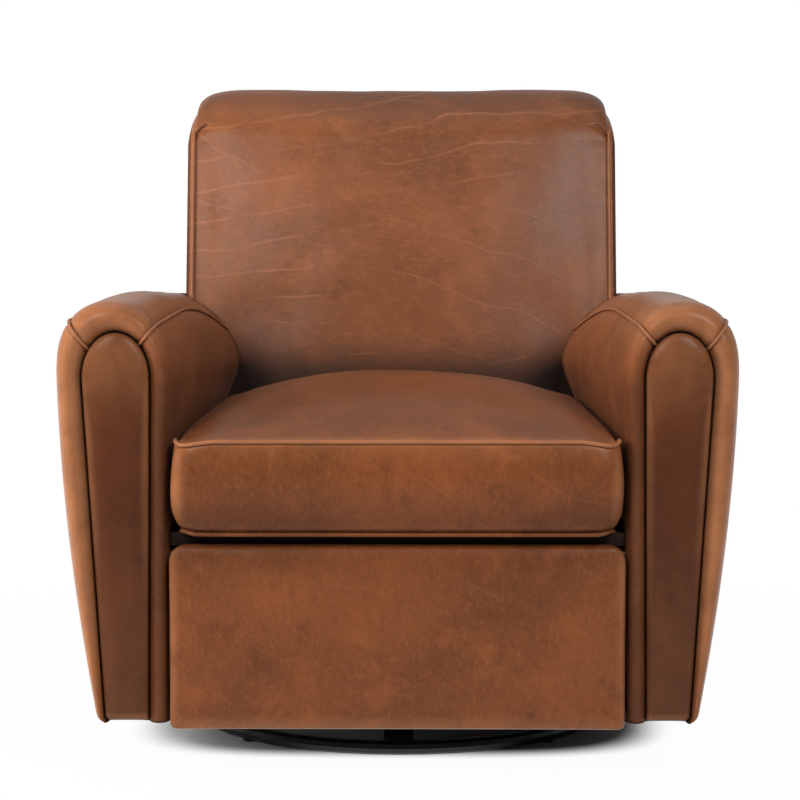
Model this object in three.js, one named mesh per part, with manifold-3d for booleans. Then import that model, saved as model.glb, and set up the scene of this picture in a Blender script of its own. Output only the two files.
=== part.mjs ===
// A swivel rocker: an upholstered club chair that rocks on coil springs and turns on a ring base.
// Millimetres, +Z up. The chair faces -Y. The origin is on the floor, on the swivel axis.
import * as THREE from 'three';
import { mergeVertices } from 'three/addons/utils/BufferGeometryUtils.js';
import Module from 'manifold-3d';

const wasm = await Module();
wasm.setup();

// Driving sizes of the whole chair
const overall_width = 870;
const overall_depth = 940;
const back_top = 909;
const body_bottom = 80;
const deck_top = 324.7;
const seat_front_edge = 446;
const arm_top = 621;
const seat_gap = 0.3;
const running_gap = 0.3;
const weld = 0.001;

// Driving angles, in degrees
const rock_back = 7;
const rock_forward = 4;
const back_rake = 13;
const rear_rake = 5.9;

const front_y = -overall_depth / 2;
const rear_y = overall_depth / 2;

const chair = new THREE.Group();

// Materials
const leather = { color: 0x7a4a30, roughness: 0.5, metalness: 0 };
const frame_wood = { color: 0xb98d5a, roughness: 0.7, metalness: 0 };
const black_steel = { color: 0x141414, roughness: 0.4, metalness: 0.6 };
const zinc_steel = { color: 0x9a9c9e, roughness: 0.35, metalness: 0.9 };
const spring_steel = { color: 0x55575a, roughness: 0.35, metalness: 0.9 };
const black_rubber = { color: 0x1b1b1b, roughness: 0.85, metalness: 0 };
const brown_felt = { color: 0x3e312a, roughness: 0.95, metalness: 0 };
const black_cloth = { color: 0x202020, roughness: 0.95, metalness: 0 };
const dark_plastic = { color: 0x262626, roughness: 0.6, metalness: 0 };

// Helpers: small maths
const radians = THREE.MathUtils.degToRad;
const between = THREE.MathUtils.lerp;
const clamp = THREE.MathUtils.clamp;

function share_of(value, low, high) {
  return clamp((value - low) / (high - low), 0, 1);
}

// Helpers: closed skins. Shared corners are merged, collapsed faces dropped, and faces turned outward.
function skin(geometry) {
  const bare = new THREE.BufferGeometry();
  bare.setAttribute('position', geometry.getAttribute('position').clone());
  bare.setIndex(geometry.getIndex());
  const merged = mergeVertices(bare, weld);
  const corners = merged.getIndex().array;
  const at = merged.getAttribute('position');
  const [a, b, c] = [new THREE.Vector3(), new THREE.Vector3(), new THREE.Vector3()];
  const kept = [];
  let volume = 0;
  for (let i = 0; i < corners.length; i += 3) {
    const [p, q, r] = corners.slice(i, i + 3);
    if (p === q || q === r || r === p) continue;
    kept.push(p, q, r);
    a.fromBufferAttribute(at, p);
    b.fromBufferAttribute(at, q);
    c.fromBufferAttribute(at, r);
    volume += a.dot(b.cross(c));
  }
  if (volume < 0) kept.reverse();
  merged.setIndex(kept);
  merged.computeVertexNormals();
  return merged;
}

function solid_of(geometry) {
  const closed = skin(geometry);
  return new wasm.Manifold(new wasm.Mesh({
    numProp: 3,
    vertProperties: new Float32Array(closed.getAttribute('position').array),
    triVerts: new Uint32Array(closed.getIndex().array),
  }));
}

function geometry_of(solid) {
  const mesh = solid.getMesh();
  const geometry = new THREE.BufferGeometry();
  geometry.setAttribute('position', new THREE.BufferAttribute(mesh.vertProperties, 3));
  geometry.setIndex(new THREE.BufferAttribute(mesh.triVerts, 1));
  return geometry;
}

function joined(first, ...others) {
  return geometry_of(others.reduce((whole, next) => whole.add(solid_of(next)), solid_of(first)));
}

function cut(body, ...tools) {
  return geometry_of(tools.reduce((rest, tool) => rest.subtract(solid_of(tool)), solid_of(body)));
}

// Helpers: forms
function outline(points) {
  return new THREE.Shape(points.map(([u, v]) => new THREE.Vector2(u, v)));
}

// A flat outline pushed along one axis. It is drawn in (y, z) for x, in (x, z) for y and in (x, y) for z.
function prism(shape, axis, from, to, curve_steps = 6) {
  const [x, y, z] = [[1, 0, 0], [0, 1, 0], [0, 0, 1]].map((v) => new THREE.Vector3(...v));
  const made = new THREE.ExtrudeGeometry(shape, {
    depth: to - from,
    bevelEnabled: false,
    curveSegments: curve_steps,
  });
  if (axis === 'x') made.applyMatrix4(new THREE.Matrix4().makeBasis(y, z, x)).translate(from, 0, 0);
  if (axis === 'y') {
    made.applyMatrix4(new THREE.Matrix4().makeBasis(x, z, y.negate())).translate(0, to, 0);
  }
  if (axis === 'z') made.translate(0, 0, from);
  return made;
}

function box(x0, x1, y0, y1, z0, z1) {
  const made = new THREE.BoxGeometry(x1 - x0, y1 - y0, z1 - z0);
  return made.translate((x0 + x1) / 2, (y0 + y1) / 2, (z0 + z1) / 2);
}

// A profile of [radius, height] turned about the upright axis.
function turned(profile, steps) {
  const made = new THREE.LatheGeometry(profile.map(([r, h]) => new THREE.Vector2(r, h)), steps);
  return made.rotateX(Math.PI / 2);
}

function cylinder(radius, axis, from, to, steps) {
  const made = new THREE.CylinderGeometry(radius, radius, to - from, steps);
  if (axis === 'x') made.rotateZ(Math.PI / 2).translate((from + to) / 2, 0, 0);
  if (axis === 'z') made.rotateX(Math.PI / 2).translate(0, 0, (from + to) / 2);
  return made;
}

// Rings of equal count joined into one skin, with flat ends. Each ring lies in a plane across `along`.
function loft(rings, along) {
  const count = rings[0].length;
  const flat = { x: ['y', 'z'], y: ['x', 'z'], z: ['x', 'y'] }[along];
  const points = rings.flat();
  const faces = [];
  for (let k = 0; k + 1 < rings.length; k += 1) {
    for (let i = 0; i < count; i += 1) {
      const [a, b] = [k * count + i, k * count + ((i + 1) % count)];
      faces.push(a, b, b + count, a, b + count, a + count);
    }
  }
  const cap = (k, turn) => {
    const ring = rings[k].map((p) => new THREE.Vector2(p[flat[0]], p[flat[1]]));
    for (const [a, b, c] of THREE.ShapeUtils.triangulateShape(ring, [])) {
      const corner = [a, b, c].map((i) => k * count + i);
      faces.push(...(turn ? corner.reverse() : corner));
    }
  };
  const rising = THREE.ShapeUtils.area(rings[0].map((p) => new THREE.Vector2(p[flat[0]], p[flat[1]]))) > 0;
  cap(0, rising);
  cap(rings.length - 1, !rising);
  const made = new THREE.BufferGeometry();
  made.setAttribute('position', new THREE.Float32BufferAttribute(points.flatMap((p) => [p.x, p.y, p.z]), 3));
  made.setIndex(faces);
  return made;
}

// A closed outline of 2D points moved inward by `inset`
function drawn_in(ring, inset) {
  const sign = Math.sign(THREE.ShapeUtils.area(ring));
  return ring.map((point, i) => {
    const before = ring[(i + ring.length - 1) % ring.length];
    const after = ring[(i + 1) % ring.length];
    const n1 = new THREE.Vector2(point.y - before.y, before.x - point.x).normalize();
    const n2 = new THREE.Vector2(after.y - point.y, point.x - after.x).normalize();
    const normal = n1.add(n2).normalize().multiplyScalar(sign * inset);
    return point.clone().sub(normal);
  });
}

// A rectangle with round corners as a ring of 2D points, counterclockwise.
function rounded_ring(half_u, half_v, radius, side_steps, corner_steps) {
  const ring = [];
  const centres = [[1, 1], [-1, 1], [-1, -1], [1, -1]];
  centres.forEach(([su, sv], k) => {
    const [cu, cv] = [su * (half_u - radius), sv * (half_v - radius)];
    for (let i = 0; i <= corner_steps; i += 1) {
      const turn = (k + i / corner_steps) * Math.PI / 2;
      ring.push(new THREE.Vector2(cu + radius * Math.cos(turn), cv + radius * Math.sin(turn)));
    }
    const [nu, nv] = centres[(k + 1) % centres.length];
    const last = ring[ring.length - 1];
    const end_turn = (k + 1) * Math.PI / 2;
    const next = new THREE.Vector2(
      nu * (half_u - radius) + radius * Math.cos(end_turn),
      nv * (half_v - radius) + radius * Math.sin(end_turn),
    );
    for (let i = 1; i < side_steps; i += 1) ring.push(last.clone().lerp(next, i / side_steps));
  });
  return ring;
}

function add(name, geometry, look) {
  const mesh = new THREE.Mesh(skin(geometry), new THREE.MeshStandardMaterial(look));
  mesh.name = name;
  chair.add(mesh);
  return mesh;
}

// A piece drawn on the right (+X), and its mirror image on the left.
function add_pair(name, geometry, look) {
  add(`${name}_right`, geometry, look);
  add(`${name}_left`, geometry.clone().scale(-1, 1, 1), look);
}

// Base: floor glides and the ring of bent tube
const ring = { radius: 294, tube: 10, glide_height: 1.5 };
ring.z = ring.glide_height + ring.tube;
const ring_steps = { round: 48, tube: 10 };

function torus(radius, tube, z) {
  const profile = [];
  for (let i = 0; i <= ring_steps.tube; i += 1) {
    const turn = (i % ring_steps.tube) / ring_steps.tube * Math.PI * 2;
    profile.push([radius + tube * Math.cos(turn), z + tube * Math.sin(turn)]);
  }
  return turned(profile, ring_steps.round);
}
add('base_ring', torus(ring.radius, ring.tube, ring.z), black_steel);

const ring_room = torus(ring.radius, ring.tube + seat_gap, ring.z);

const glide = { radius: 8, saddle_height: 4.5, count: 4, steps: 16 };
for (let k = 0; k < glide.count; k += 1) {
  const turn = (k + 1 / 2) / glide.count * Math.PI * 2;
  const puck = cylinder(glide.radius, 'z', 0, glide.saddle_height, glide.steps);
  puck.translate(ring.radius * Math.cos(turn), ring.radius * Math.sin(turn), 0);
  add(`floor_glide_${k + 1}`, cut(puck, ring_room), dark_plastic);
}

// Base: four pressed channel arms from the ring up to the hub plate
const arm_press = { width: 40, depth: 15, gauge: 3, inner_end: 24, top: 58, flat_out: 92, ring_flat: 36 };
const king = { shank: 8, head: 19, head_gauge: 7, foot: 14, foot_gauge: 5, steps: 24 };
const hub = { radius: 82, gauge: 4, bore: king.shank + running_gap };
hub.bottom = arm_press.top + seat_gap;
hub.top = hub.bottom + hub.gauge;

function arm_profile(depth_in, gauge_off) {
  const low_top = ring.z + arm_press.depth / 2;
  const end = ring.radius;
  const bend = new THREE.CubicBezierCurve(
    new THREE.Vector2(arm_press.flat_out, arm_press.top),
    new THREE.Vector2(between(arm_press.flat_out, end - arm_press.ring_flat, 1 / 2), arm_press.top),
    new THREE.Vector2(between(arm_press.flat_out, end - arm_press.ring_flat, 1 / 2), low_top),
    new THREE.Vector2(end - arm_press.ring_flat, low_top),
  ).getPoints(8);
  const top = [
    new THREE.Vector2(arm_press.inner_end, arm_press.top),
    ...bend,
    new THREE.Vector2(end, low_top),
  ];
  const upper = top.map((p) => [p.x, p.y - gauge_off]);
  const lower = top.map((p) => [p.x, p.y - depth_in]).reverse();
  return outline([...upper, ...lower]);
}

function channel_arm() {
  const half = arm_press.width / 2;
  const outer = prism(arm_profile(arm_press.depth, 0), 'y', -half, half);
  const hollow_half = half - arm_press.gauge;
  const hollow = prism(
    arm_profile(arm_press.depth + arm_press.gauge, arm_press.gauge), 'y', -hollow_half, hollow_half,
  );
  return cut(outer, hollow, ring_room);
}
const arm_sides = ['right', 'rear', 'left', 'front'];
arm_sides.forEach((side, k) => {
  add(`base_arm_${side}`, channel_arm().rotateZ(k * Math.PI / 2), black_steel);
});

add('base_hub', turned([
  [hub.bore, hub.bottom], [hub.radius, hub.bottom], [hub.radius, hub.top], [hub.bore, hub.top],
  [hub.bore, hub.bottom],
], ring_steps.round), black_steel);

// Bearing: two grooved races, and a cage with its balls between them
const bearing = { pitch: 58, half_width: 15, gauge: 4, ball: 4, groove_depth: 2.2, balls: 10, cage_gauge: 1.2 };
bearing.bottom = hub.top + seat_gap;
bearing.groove_radius = bearing.ball + running_gap;
bearing.ball_z = bearing.bottom + bearing.gauge - bearing.groove_depth + bearing.groove_radius;
bearing.top = 2 * bearing.ball_z - bearing.bottom;
const bearing_steps = { round: 36, groove: 4, ball_round: 8, ball_high: 4 };

function race_profile(side) {
  const { pitch, half_width, gauge, groove_radius, ball_z, groove_depth } = bearing;
  const face = ball_z - side * (groove_radius - groove_depth);
  const back = face - side * gauge;
  const reach = Math.acos((groove_radius - groove_depth) / groove_radius);
  const points = [[pitch - half_width, face]];
  for (let i = 0; i <= bearing_steps.groove; i += 1) {
    const turn = between(-reach, reach, i / bearing_steps.groove);
    points.push([pitch + groove_radius * Math.sin(turn), ball_z - side * groove_radius * Math.cos(turn)]);
  }
  points.push([pitch + half_width, face], [pitch + half_width, back], [pitch - half_width, back]);
  points.push([pitch - half_width, face]);
  return points;
}
add('lower_race', turned(race_profile(1), bearing_steps.round), zinc_steel);
add('upper_race', turned(race_profile(-1), bearing_steps.round), zinc_steel);

function ball_cage() {
  const half = bearing.cage_gauge / 2;
  const half_width = bearing.half_width / 2;
  const [low, high] = [bearing.ball_z - half, bearing.ball_z + half];
  const [inner, outer] = [bearing.pitch - half_width, bearing.pitch + half_width];
  const plate = turned([[inner, low], [outer, low], [outer, high], [inner, high], [inner, low]], bearing_steps.round);
  const balls = [];
  for (let k = 0; k < bearing.balls; k += 1) {
    const turn = k / bearing.balls * Math.PI * 2;
    const ball = new THREE.SphereGeometry(bearing.ball, bearing_steps.ball_round, bearing_steps.ball_high);
    ball.rotateX(Math.PI / 2);
    balls.push(ball.translate(bearing.pitch * Math.cos(turn), bearing.pitch * Math.sin(turn), bearing.ball_z));
  }
  return joined(plate, ...balls);
}
add('ball_cage', ball_cage(), zinc_steel);

// Swivel: the rocker base, a pressed plate with an ear and a stop ledge on each side
const rocker = { half_width: 178, half_length: 150, gauge: 3, ear_radius: 18, pivot_z: 140 };
rocker.bottom = bearing.top + seat_gap;
rocker.top = rocker.bottom + rocker.gauge;
const pin = { radius: 8, head: 13, head_gauge: 4, steps: 20 };
const stop = { y: 134, length: 26, width: 14, ledge_z: 126, slot: 9 };

// The upright side of the rocker base, drawn in (y, z)
function side_profile() {
  const half = rocker.half_length;
  const shape = new THREE.Shape();
  shape.moveTo(-half, rocker.bottom);
  shape.lineTo(half, rocker.bottom);
  shape.lineTo(half, stop.ledge_z);
  shape.lineTo(stop.y - stop.length, stop.ledge_z);
  shape.lineTo(rocker.ear_radius, rocker.pivot_z);
  shape.absarc(0, rocker.pivot_z, rocker.ear_radius, 0, Math.PI, false);
  shape.lineTo(-stop.y + stop.length, stop.ledge_z);
  shape.lineTo(-half, stop.ledge_z);
  shape.closePath();
  return shape;
}

function rocker_base() {
  const { half_width, half_length, gauge, bottom, top } = rocker;
  const floor = box(-half_width, half_width, -half_length, half_length, bottom, top);
  const wall = () => prism(side_profile(), 'x', half_width - gauge, half_width);
  const window_shape = new THREE.Shape();
  const lightening = { radius: 30, x: 118 };
  window_shape.absarc(0, 0, lightening.radius, 0, Math.PI * 2, false);
  const holes = [-1, 1].map((side) => {
    return prism(window_shape, 'z', bottom - gauge, top + gauge).translate(side * lightening.x, 0, 0);
  });
  const reach = half_width + gauge;
  const pin_bore = cylinder(pin.radius + running_gap, 'x', -reach, reach, pin.steps);
  const king_bore = cylinder(king.shank + running_gap, 'z', bottom - gauge, top + gauge, king.steps);
  const body = joined(floor, wall(), wall().scale(-1, 1, 1));
  return cut(body, ...holes, pin_bore.translate(0, 0, rocker.pivot_z), king_bore);
}
add('rocker_base', rocker_base(), black_steel);

// King pin: a shouldered rivet that holds the rocker base down on the bearing and the hub
king.top = rocker.top + running_gap;
king.bottom = hub.bottom - seat_gap;
add('king_pin', turned([
  [0, king.bottom - king.foot_gauge], [king.foot, king.bottom - king.foot_gauge], [king.foot, king.bottom],
  [king.shank, king.bottom], [king.shank, king.top], [king.head, king.top],
  [king.head, king.top + king.head_gauge / 2], [king.foot, king.top + king.head_gauge],
  [0, king.top + king.head_gauge],
], king.steps), zinc_steel);

// Rocker rails: pressed angles that hang on the pins and carry the seat frame
const rail = { gauge: 3, flange: 32, half_length: 165, top: 186.7, end_drop: 22, boss: 18, ear_clearance: 0.9 };
rail.inner = rocker.half_width + rail.ear_clearance;
rail.outer = rail.inner + rail.gauge;
rail.edge_z = rocker.pivot_z + rail.end_drop;

function rail_profile() {
  const half = rail.half_length;
  const shape = new THREE.Shape();
  shape.moveTo(half, rail.top);
  shape.lineTo(-half, rail.top);
  shape.lineTo(-half, rail.edge_z);
  shape.lineTo(-stop.y + stop.length, rail.edge_z);
  shape.lineTo(-rail.boss, rocker.pivot_z);
  shape.absarc(0, rocker.pivot_z, rail.boss, Math.PI, Math.PI * 2, false);
  shape.lineTo(stop.y - stop.length, rail.edge_z);
  shape.lineTo(half, rail.edge_z);
  shape.closePath();
  return shape;
}

function rocker_rail() {
  const web = prism(rail_profile(), 'x', rail.inner, rail.outer);
  const flange = box(
    rail.outer - rail.flange, rail.outer, -rail.half_length, rail.half_length, rail.top - rail.gauge, rail.top,
  );
  const bore = cylinder(pin.radius + running_gap, 'x', rail.inner - rail.gauge, rail.outer + rail.gauge, pin.steps);
  return cut(joined(web, flange), bore.translate(0, 0, rocker.pivot_z));
}
add_pair('rocker_rail', rocker_rail(), black_steel);

// Pivot pins: headed inside the ears, riveted outside the rails
pin.in = rocker.half_width - rocker.gauge - running_gap;
pin.out = rail.outer + running_gap;
function pivot_pin() {
  const half = pin.head_gauge / 2;
  const profile = [
    [0, pin.in - pin.head_gauge], [pin.head - half, pin.in - pin.head_gauge], [pin.head, pin.in - half],
    [pin.head, pin.in], [pin.radius, pin.in], [pin.radius, pin.out], [pin.head, pin.out],
    [pin.head, pin.out + half], [pin.head - half, pin.out + pin.head_gauge], [0, pin.out + pin.head_gauge],
  ];
  return turned(profile, pin.steps).rotateY(Math.PI / 2).translate(0, 0, rocker.pivot_z);
}
add_pair('pivot_pin', pivot_pin(), zinc_steel);

// Rubber bump stops, clipped on the ledges, tall enough to end the rocking at its limits
function stop_top(y, degrees) {
  const turn = radians(degrees);
  const edge = rail.edge_z - rocker.pivot_z;
  return rocker.pivot_z - Math.abs(y) * Math.sin(turn) + edge * Math.cos(turn) - 2 * running_gap;
}

function bump_stop(y, degrees) {
  const middle = rocker.half_width - rocker.gauge / 2;
  const half = stop.width / 2;
  const [low, high] = [stop.ledge_z - stop.slot, stop_top(Math.abs(y) + stop.length / 2, degrees)];
  const chamfer = stop.width / 4;
  const shape = outline([
    [middle - half, low], [middle + half, low], [middle + half, high - chamfer],
    [middle + half - chamfer, high], [middle - half + chamfer, high], [middle - half, high - chamfer],
  ]);
  const block = prism(shape, 'y', y - stop.length / 2, y + stop.length / 2);
  const slot = box(
    rocker.half_width - rocker.gauge - seat_gap, rocker.half_width + seat_gap,
    y - stop.length, y + stop.length, low - stop.slot, stop.ledge_z + seat_gap,
  );
  return cut(block, slot);
}
add_pair('rear_bump_stop', bump_stop(stop.y, rock_back), black_rubber);
add_pair('front_bump_stop', bump_stop(-stop.y, rock_forward), black_rubber);

// Spring bars: shallow channels under the rail flanges, one over each pair of springs
const bar = { y: 100, width: 66, depth: 12, gauge: 3 };
bar.top = rail.top - rail.gauge - seat_gap;
bar.under = bar.top - bar.gauge;
bar.half_length = rail.inner - seat_gap;
function spring_bar(y) {
  const [near, far] = [y - bar.width / 2, y + bar.width / 2];
  const [low, lip] = [bar.top - bar.depth, bar.gauge];
  const shape = outline([
    [near, bar.top], [near, low], [near + lip, low], [near + lip, bar.under],
    [far - lip, bar.under], [far - lip, low], [far, low], [far, bar.top],
  ]);
  return prism(shape, 'x', -bar.half_length, bar.half_length);
}
add('spring_bar_rear', spring_bar(bar.y), black_steel);
add('spring_bar_front', spring_bar(-bar.y), black_steel);

// Rocker springs: closed-end compression coils, one unbroken tube each
const coil = { x: 112, radius: 23, wire: 3.5, turns: 6, end_turns: 0.75, steps: 8, sides: 5 };
class CoilCurve extends THREE.Curve {
  constructor(bottom, top) {
    super();
    this.bottom = bottom;
    this.top = top;
  }

  height(t) {
    const turns = t * coil.turns;
    const closed_pitch = 2 * coil.wire + 2 * seat_gap;
    const closed = coil.end_turns * closed_pitch;
    const open = this.top - this.bottom - 2 * closed;
    const middle = share_of(turns, coil.end_turns, coil.turns - coil.end_turns);
    const ends = Math.min(turns, coil.end_turns) + Math.max(turns - coil.turns + coil.end_turns, 0);
    return this.bottom + ends * closed_pitch + middle * open;
  }

  getPoint(t, target = new THREE.Vector3()) {
    const turn = t * coil.turns * Math.PI * 2;
    return target.set(coil.radius * Math.cos(turn), coil.radius * Math.sin(turn), this.height(t));
  }
}

// Rings of wire placed along a curve, each square to it, with `side` as the direction that stays level
function wire(points, tangents, radius, sides) {
  const up = new THREE.Vector3(0, 0, 1);
  const rings = points.map((p, k) => {
    const side = new THREE.Vector3().crossVectors(tangents[k], up).normalize();
    const rise = new THREE.Vector3().crossVectors(side, tangents[k]);
    return Array.from({ length: sides }, (_, i) => {
      const turn = i / sides * Math.PI * 2;
      return p.clone().addScaledVector(side, radius * Math.cos(turn)).addScaledVector(rise, radius * Math.sin(turn));
    });
  });
  const count = rings.length * sides;
  const faces = [];
  for (let k = 0; k + 1 < rings.length; k += 1) {
    for (let i = 0; i < sides; i += 1) {
      const [a, b] = [k * sides + i, k * sides + ((i + 1) % sides)];
      faces.push(a, b, b + sides, a, b + sides, a + sides);
    }
  }
  for (let i = 1; i + 1 < sides; i += 1) {
    faces.push(0, i + 1, i);
    faces.push(count - sides, count - sides + i, count - sides + i + 1);
  }
  const made = new THREE.BufferGeometry();
  const positions = rings.flat().flatMap((p) => [p.x, p.y, p.z]);
  made.setAttribute('position', new THREE.Float32BufferAttribute(positions, 3));
  made.setIndex(faces);
  return made;
}

function rocker_spring() {
  const bottom = rocker.top + seat_gap + coil.wire;
  const top = bar.under - seat_gap - coil.wire;
  const curve = new CoilCurve(bottom, top);
  const count = coil.turns * coil.steps;
  const at = Array.from({ length: count + 1 }, (_, i) => i / count);
  const points = at.map((t) => curve.getPoint(t));
  const tangents = at.map((t) => curve.getTangent(t));
  const between_turns = points.slice(coil.steps).map((p, i) => p.distanceTo(points[i]));
  console.log('least gap between spring turns, mm:', Math.min(...between_turns) - 2 * coil.wire);
  return wire(points, tangents, coil.wire, coil.sides);
}
const spring_places = { rear: bar.y, front: -bar.y };
for (const [end, y] of Object.entries(spring_places)) {
  for (const [side, x] of [['right', coil.x], ['left', -coil.x]]) {
    add(`rocker_spring_${end}_${side}`, rocker_spring().translate(x, y, 0), spring_steel);
  }
}

// Upholstered arms: the outline across the arm at depth y, drawn in (x, z) for the right arm
const arm = {
  outer: overall_width / 2,
  foot_draw_in: 49,
  foot_round: 14,
  thick_front: 142,
  thick_rear: 173,
  past_face: 25,
  overhang_front: 4,
  overhang_rear: 21,
  roll_height: 91,
  inner_roll_height: 116,
  under_roll: 75,
  level_length: 270,
  rear_fall: 43,
  setback: 23,
  roll: 18,
};
arm.front = front_y + arm.setback;
arm.outer_foot = arm.outer - arm.foot_draw_in;
arm.inner_front = arm.outer - arm.thick_front;
arm.inner_rear = arm.outer - arm.thick_rear;
arm.level_to_y = front_y + arm.level_length;
arm.wide_z = arm_top - arm.roll_height;
arm.inner_wide_z = arm_top - arm.inner_roll_height;
arm.outer_bow_share = 0.8;
arm.outer_power_share = 2.4;
arm.inner_power_share = 2.15;
arm.fall_power_share = 1.15;
arm.steps = { foot: 3, side: 4, roll: 6, under: 3, front: 6, along: 5 };

// The planes of the back: the cushion's front face and the rear of the chair
const back = { foot_depth: 396.5, rear_drop: 69, arm_margin: 108.5, thickness: 165, panel: 20, band: 11 };
back.face_foot_y = rear_y - back.foot_depth;
back.half_width = overall_width / 2 - back.arm_margin;
back.rear_edge_z = back_top - back.rear_drop;
function face_y(z) {
  return back.face_foot_y + (z - deck_top) * Math.tan(radians(back_rake));
}
function rear_plane_y(z) {
  return rear_y + (z - back.rear_edge_z) * Math.tan(radians(rear_rake));
}

arm.inner_rear_y = back.face_foot_y + arm.past_face;
function inner_wall(y) {
  return between(arm.inner_front, arm.inner_rear, (y - arm.front) / (arm.inner_rear_y - arm.front));
}

// A round-topped outline on a rounded outer foot, whose sides run on down to `low`, where they are trimmed.
// `outer_at` and `inner_at` give the two sides by height. All such outlines have the same count of points,
// so that a skin can pass from one to another.
function arch_outline({ low, outer_at, inner_at, outer_spring, inner_spring, crown_z, outer_power, inner_power }) {
  const foot_z = body_bottom + arm.foot_round;
  const points = [[inner_at(low), low], [outer_at(foot_z) - arm.foot_round, low]];
  for (let i = 0; i < arm.steps.foot; i += 1) {
    const turn = i / arm.steps.foot * Math.PI / 2;
    points.push([
      outer_at(foot_z) - arm.foot_round * (1 - Math.sin(turn)), foot_z - arm.foot_round * Math.cos(turn),
    ]);
  }
  for (let i = 0; i < arm.steps.side; i += 1) {
    const z = between(foot_z, outer_spring, i / arm.steps.side);
    points.push([outer_at(z), z]);
  }
  const crown_x = (outer_at(outer_spring) + inner_at(inner_spring)) / 2;
  const half = outer_at(outer_spring) - crown_x;
  for (let i = 0; i <= 2 * arm.steps.roll; i += 1) {
    const turn = i / arm.steps.roll * Math.PI / 2;
    const outside = i <= arm.steps.roll;
    const power = 2 / (outside ? outer_power : inner_power);
    const reach = Math.sign(Math.cos(turn)) * Math.abs(Math.cos(turn)) ** power;
    const spring = outside ? outer_spring : inner_spring;
    points.push([crown_x + half * reach, between(spring, crown_z, Math.sin(turn) ** power)]);
  }
  for (let i = 1; i <= arm.steps.under; i += 1) {
    const z = inner_spring - arm.under_roll * i / arm.steps.under;
    points.push([inner_at(z), z]);
  }
  return points.map(([x, z]) => new THREE.Vector2(x, z));
}

function arm_ring(y) {
  const wall = inner_wall(y);
  const forward = share_of(y, arm.front, arm.inner_rear_y);
  const bulge = wall - between(arm.overhang_front, arm.overhang_rear, forward);
  return arch_outline({
    low: body_bottom - overrun,
    outer_at: (z) => {
      const up = share_of(z, body_bottom, arm.wide_z);
      return between(arm.outer_foot, arm.outer, up * (1 + arm.outer_bow_share * (1 - up)));
    },
    inner_at: (z) => {
      const up = share_of(z, arm.inner_wide_z - arm.under_roll, arm.inner_wide_z);
      return between(wall, bulge, up * up * (3 - 2 * up));
    },
    outer_spring: arm.wide_z,
    inner_spring: arm.inner_wide_z,
    crown_z: arm_top - arm.rear_fall * share_of(y, arm.level_to_y, rear_y) ** arm.fall_power_share,
    outer_power: arm.outer_power_share,
    inner_power: arm.inner_power_share,
  });
}

// The pocket in each arm's front, which holds a padded panel between two rolls and is open at the foot
const pocket = { inner: 19.5, inner_foot: 23.5, outer: 35, outer_foot: 14, crown: 34, arch: 60, round_share: 2 };
pocket.crown_z = arm_top - pocket.crown;
pocket.spring_z = pocket.crown_z - pocket.arch;
function pocket_ring() {
  const up_to = (z) => share_of(z, body_bottom, pocket.spring_z);
  return arch_outline({
    low: body_bottom - overrun / 2,
    outer_at: (z) => between(arm.outer_foot - pocket.outer_foot, arm.outer - pocket.outer, up_to(z)),
    inner_at: (z) => between(arm.inner_front + pocket.inner_foot, arm.inner_front + pocket.inner, up_to(z)),
    outer_spring: pocket.spring_z,
    inner_spring: pocket.spring_z,
    crown_z: pocket.crown_z,
    outer_power: pocket.round_share,
    inner_power: pocket.round_share,
  });
}

// The arm's front is a padded roll that turns in to the pocket of the front panel.
function arm_body() {
  const rings = [];
  const side_y = arm.front + arm.roll;
  const whole = arm_ring(side_y);
  const inner = pocket_ring();
  for (let i = arm.steps.front; i >= 0; i -= 1) {
    const turn = i / arm.steps.front * Math.PI;
    const y = arm.front + arm.roll * (1 - Math.sin(turn));
    const ring = whole.map((p, k) => p.clone().lerp(inner[k], (1 - Math.cos(turn)) / 2));
    rings.push(ring.map((p) => new THREE.Vector3(p.x, y, p.y)));
  }
  for (let i = 1; i <= arm.steps.along; i += 1) {
    const y = between(side_y, rear_y, i / arm.steps.along);
    rings.push(arm_ring(y).map((p) => new THREE.Vector3(p.x, y, p.y)));
  }
  return loft(rings, 'y');
}

// Wooden arm frame: a front post and a top rail inside each arm
const post = { foam: 29, width: 42, setback: 33, depth: 30, below_top: 83 };
post.x = arm.inner_front + post.foam;
post.y = arm.front + post.setback;
post.top = arm_top - post.below_top;
const top_rail = { wall: 16, width: 52, height: 24, rear_margin: 30 };
top_rail.x = back.half_width + top_rail.wall;
top_rail.bottom = post.top + seat_gap;
top_rail.top = top_rail.bottom + top_rail.height;
top_rail.rear = rear_plane_y(top_rail.bottom) - top_rail.rear_margin;

function post_block(grow) {
  return box(
    post.x - grow, post.x + post.width + grow, post.y - grow, post.y + post.depth + grow,
    body_bottom - grow, post.top + grow,
  );
}
function top_rail_block(grow) {
  return box(
    top_rail.x - grow, top_rail.x + top_rail.width + grow, post.y - grow, top_rail.rear + grow,
    top_rail.bottom - grow, top_rail.top + grow,
  );
}
add_pair('arm_post', post_block(0), frame_wood);
add_pair('arm_top_rail', top_rail_block(0), frame_wood);

// Space kept clear of the arms: the back with its frame, and all behind the raked rear plane
const overrun = 60;
function behind_face(half_width) {
  const low = body_bottom - overrun;
  const high = back_top + overrun;
  const far = rear_y + overrun;
  const room = outline([
    [face_y(low) - seat_gap, low], [far, low], [far, high], [face_y(high) - seat_gap, high],
  ]);
  return prism(room, 'x', -half_width, half_width);
}
function behind_rear() {
  const low = body_bottom - overrun;
  const high = back_top + overrun;
  const far = rear_y + 4 * overrun;
  return prism(outline([
    [rear_plane_y(low), low], [far, low], [far, high], [rear_plane_y(high), high],
  ]), 'x', -overall_width, overall_width);
}

function below_body() {
  return box(-overall_width, overall_width, 2 * front_y, 2 * rear_y, -overrun, body_bottom);
}

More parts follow.
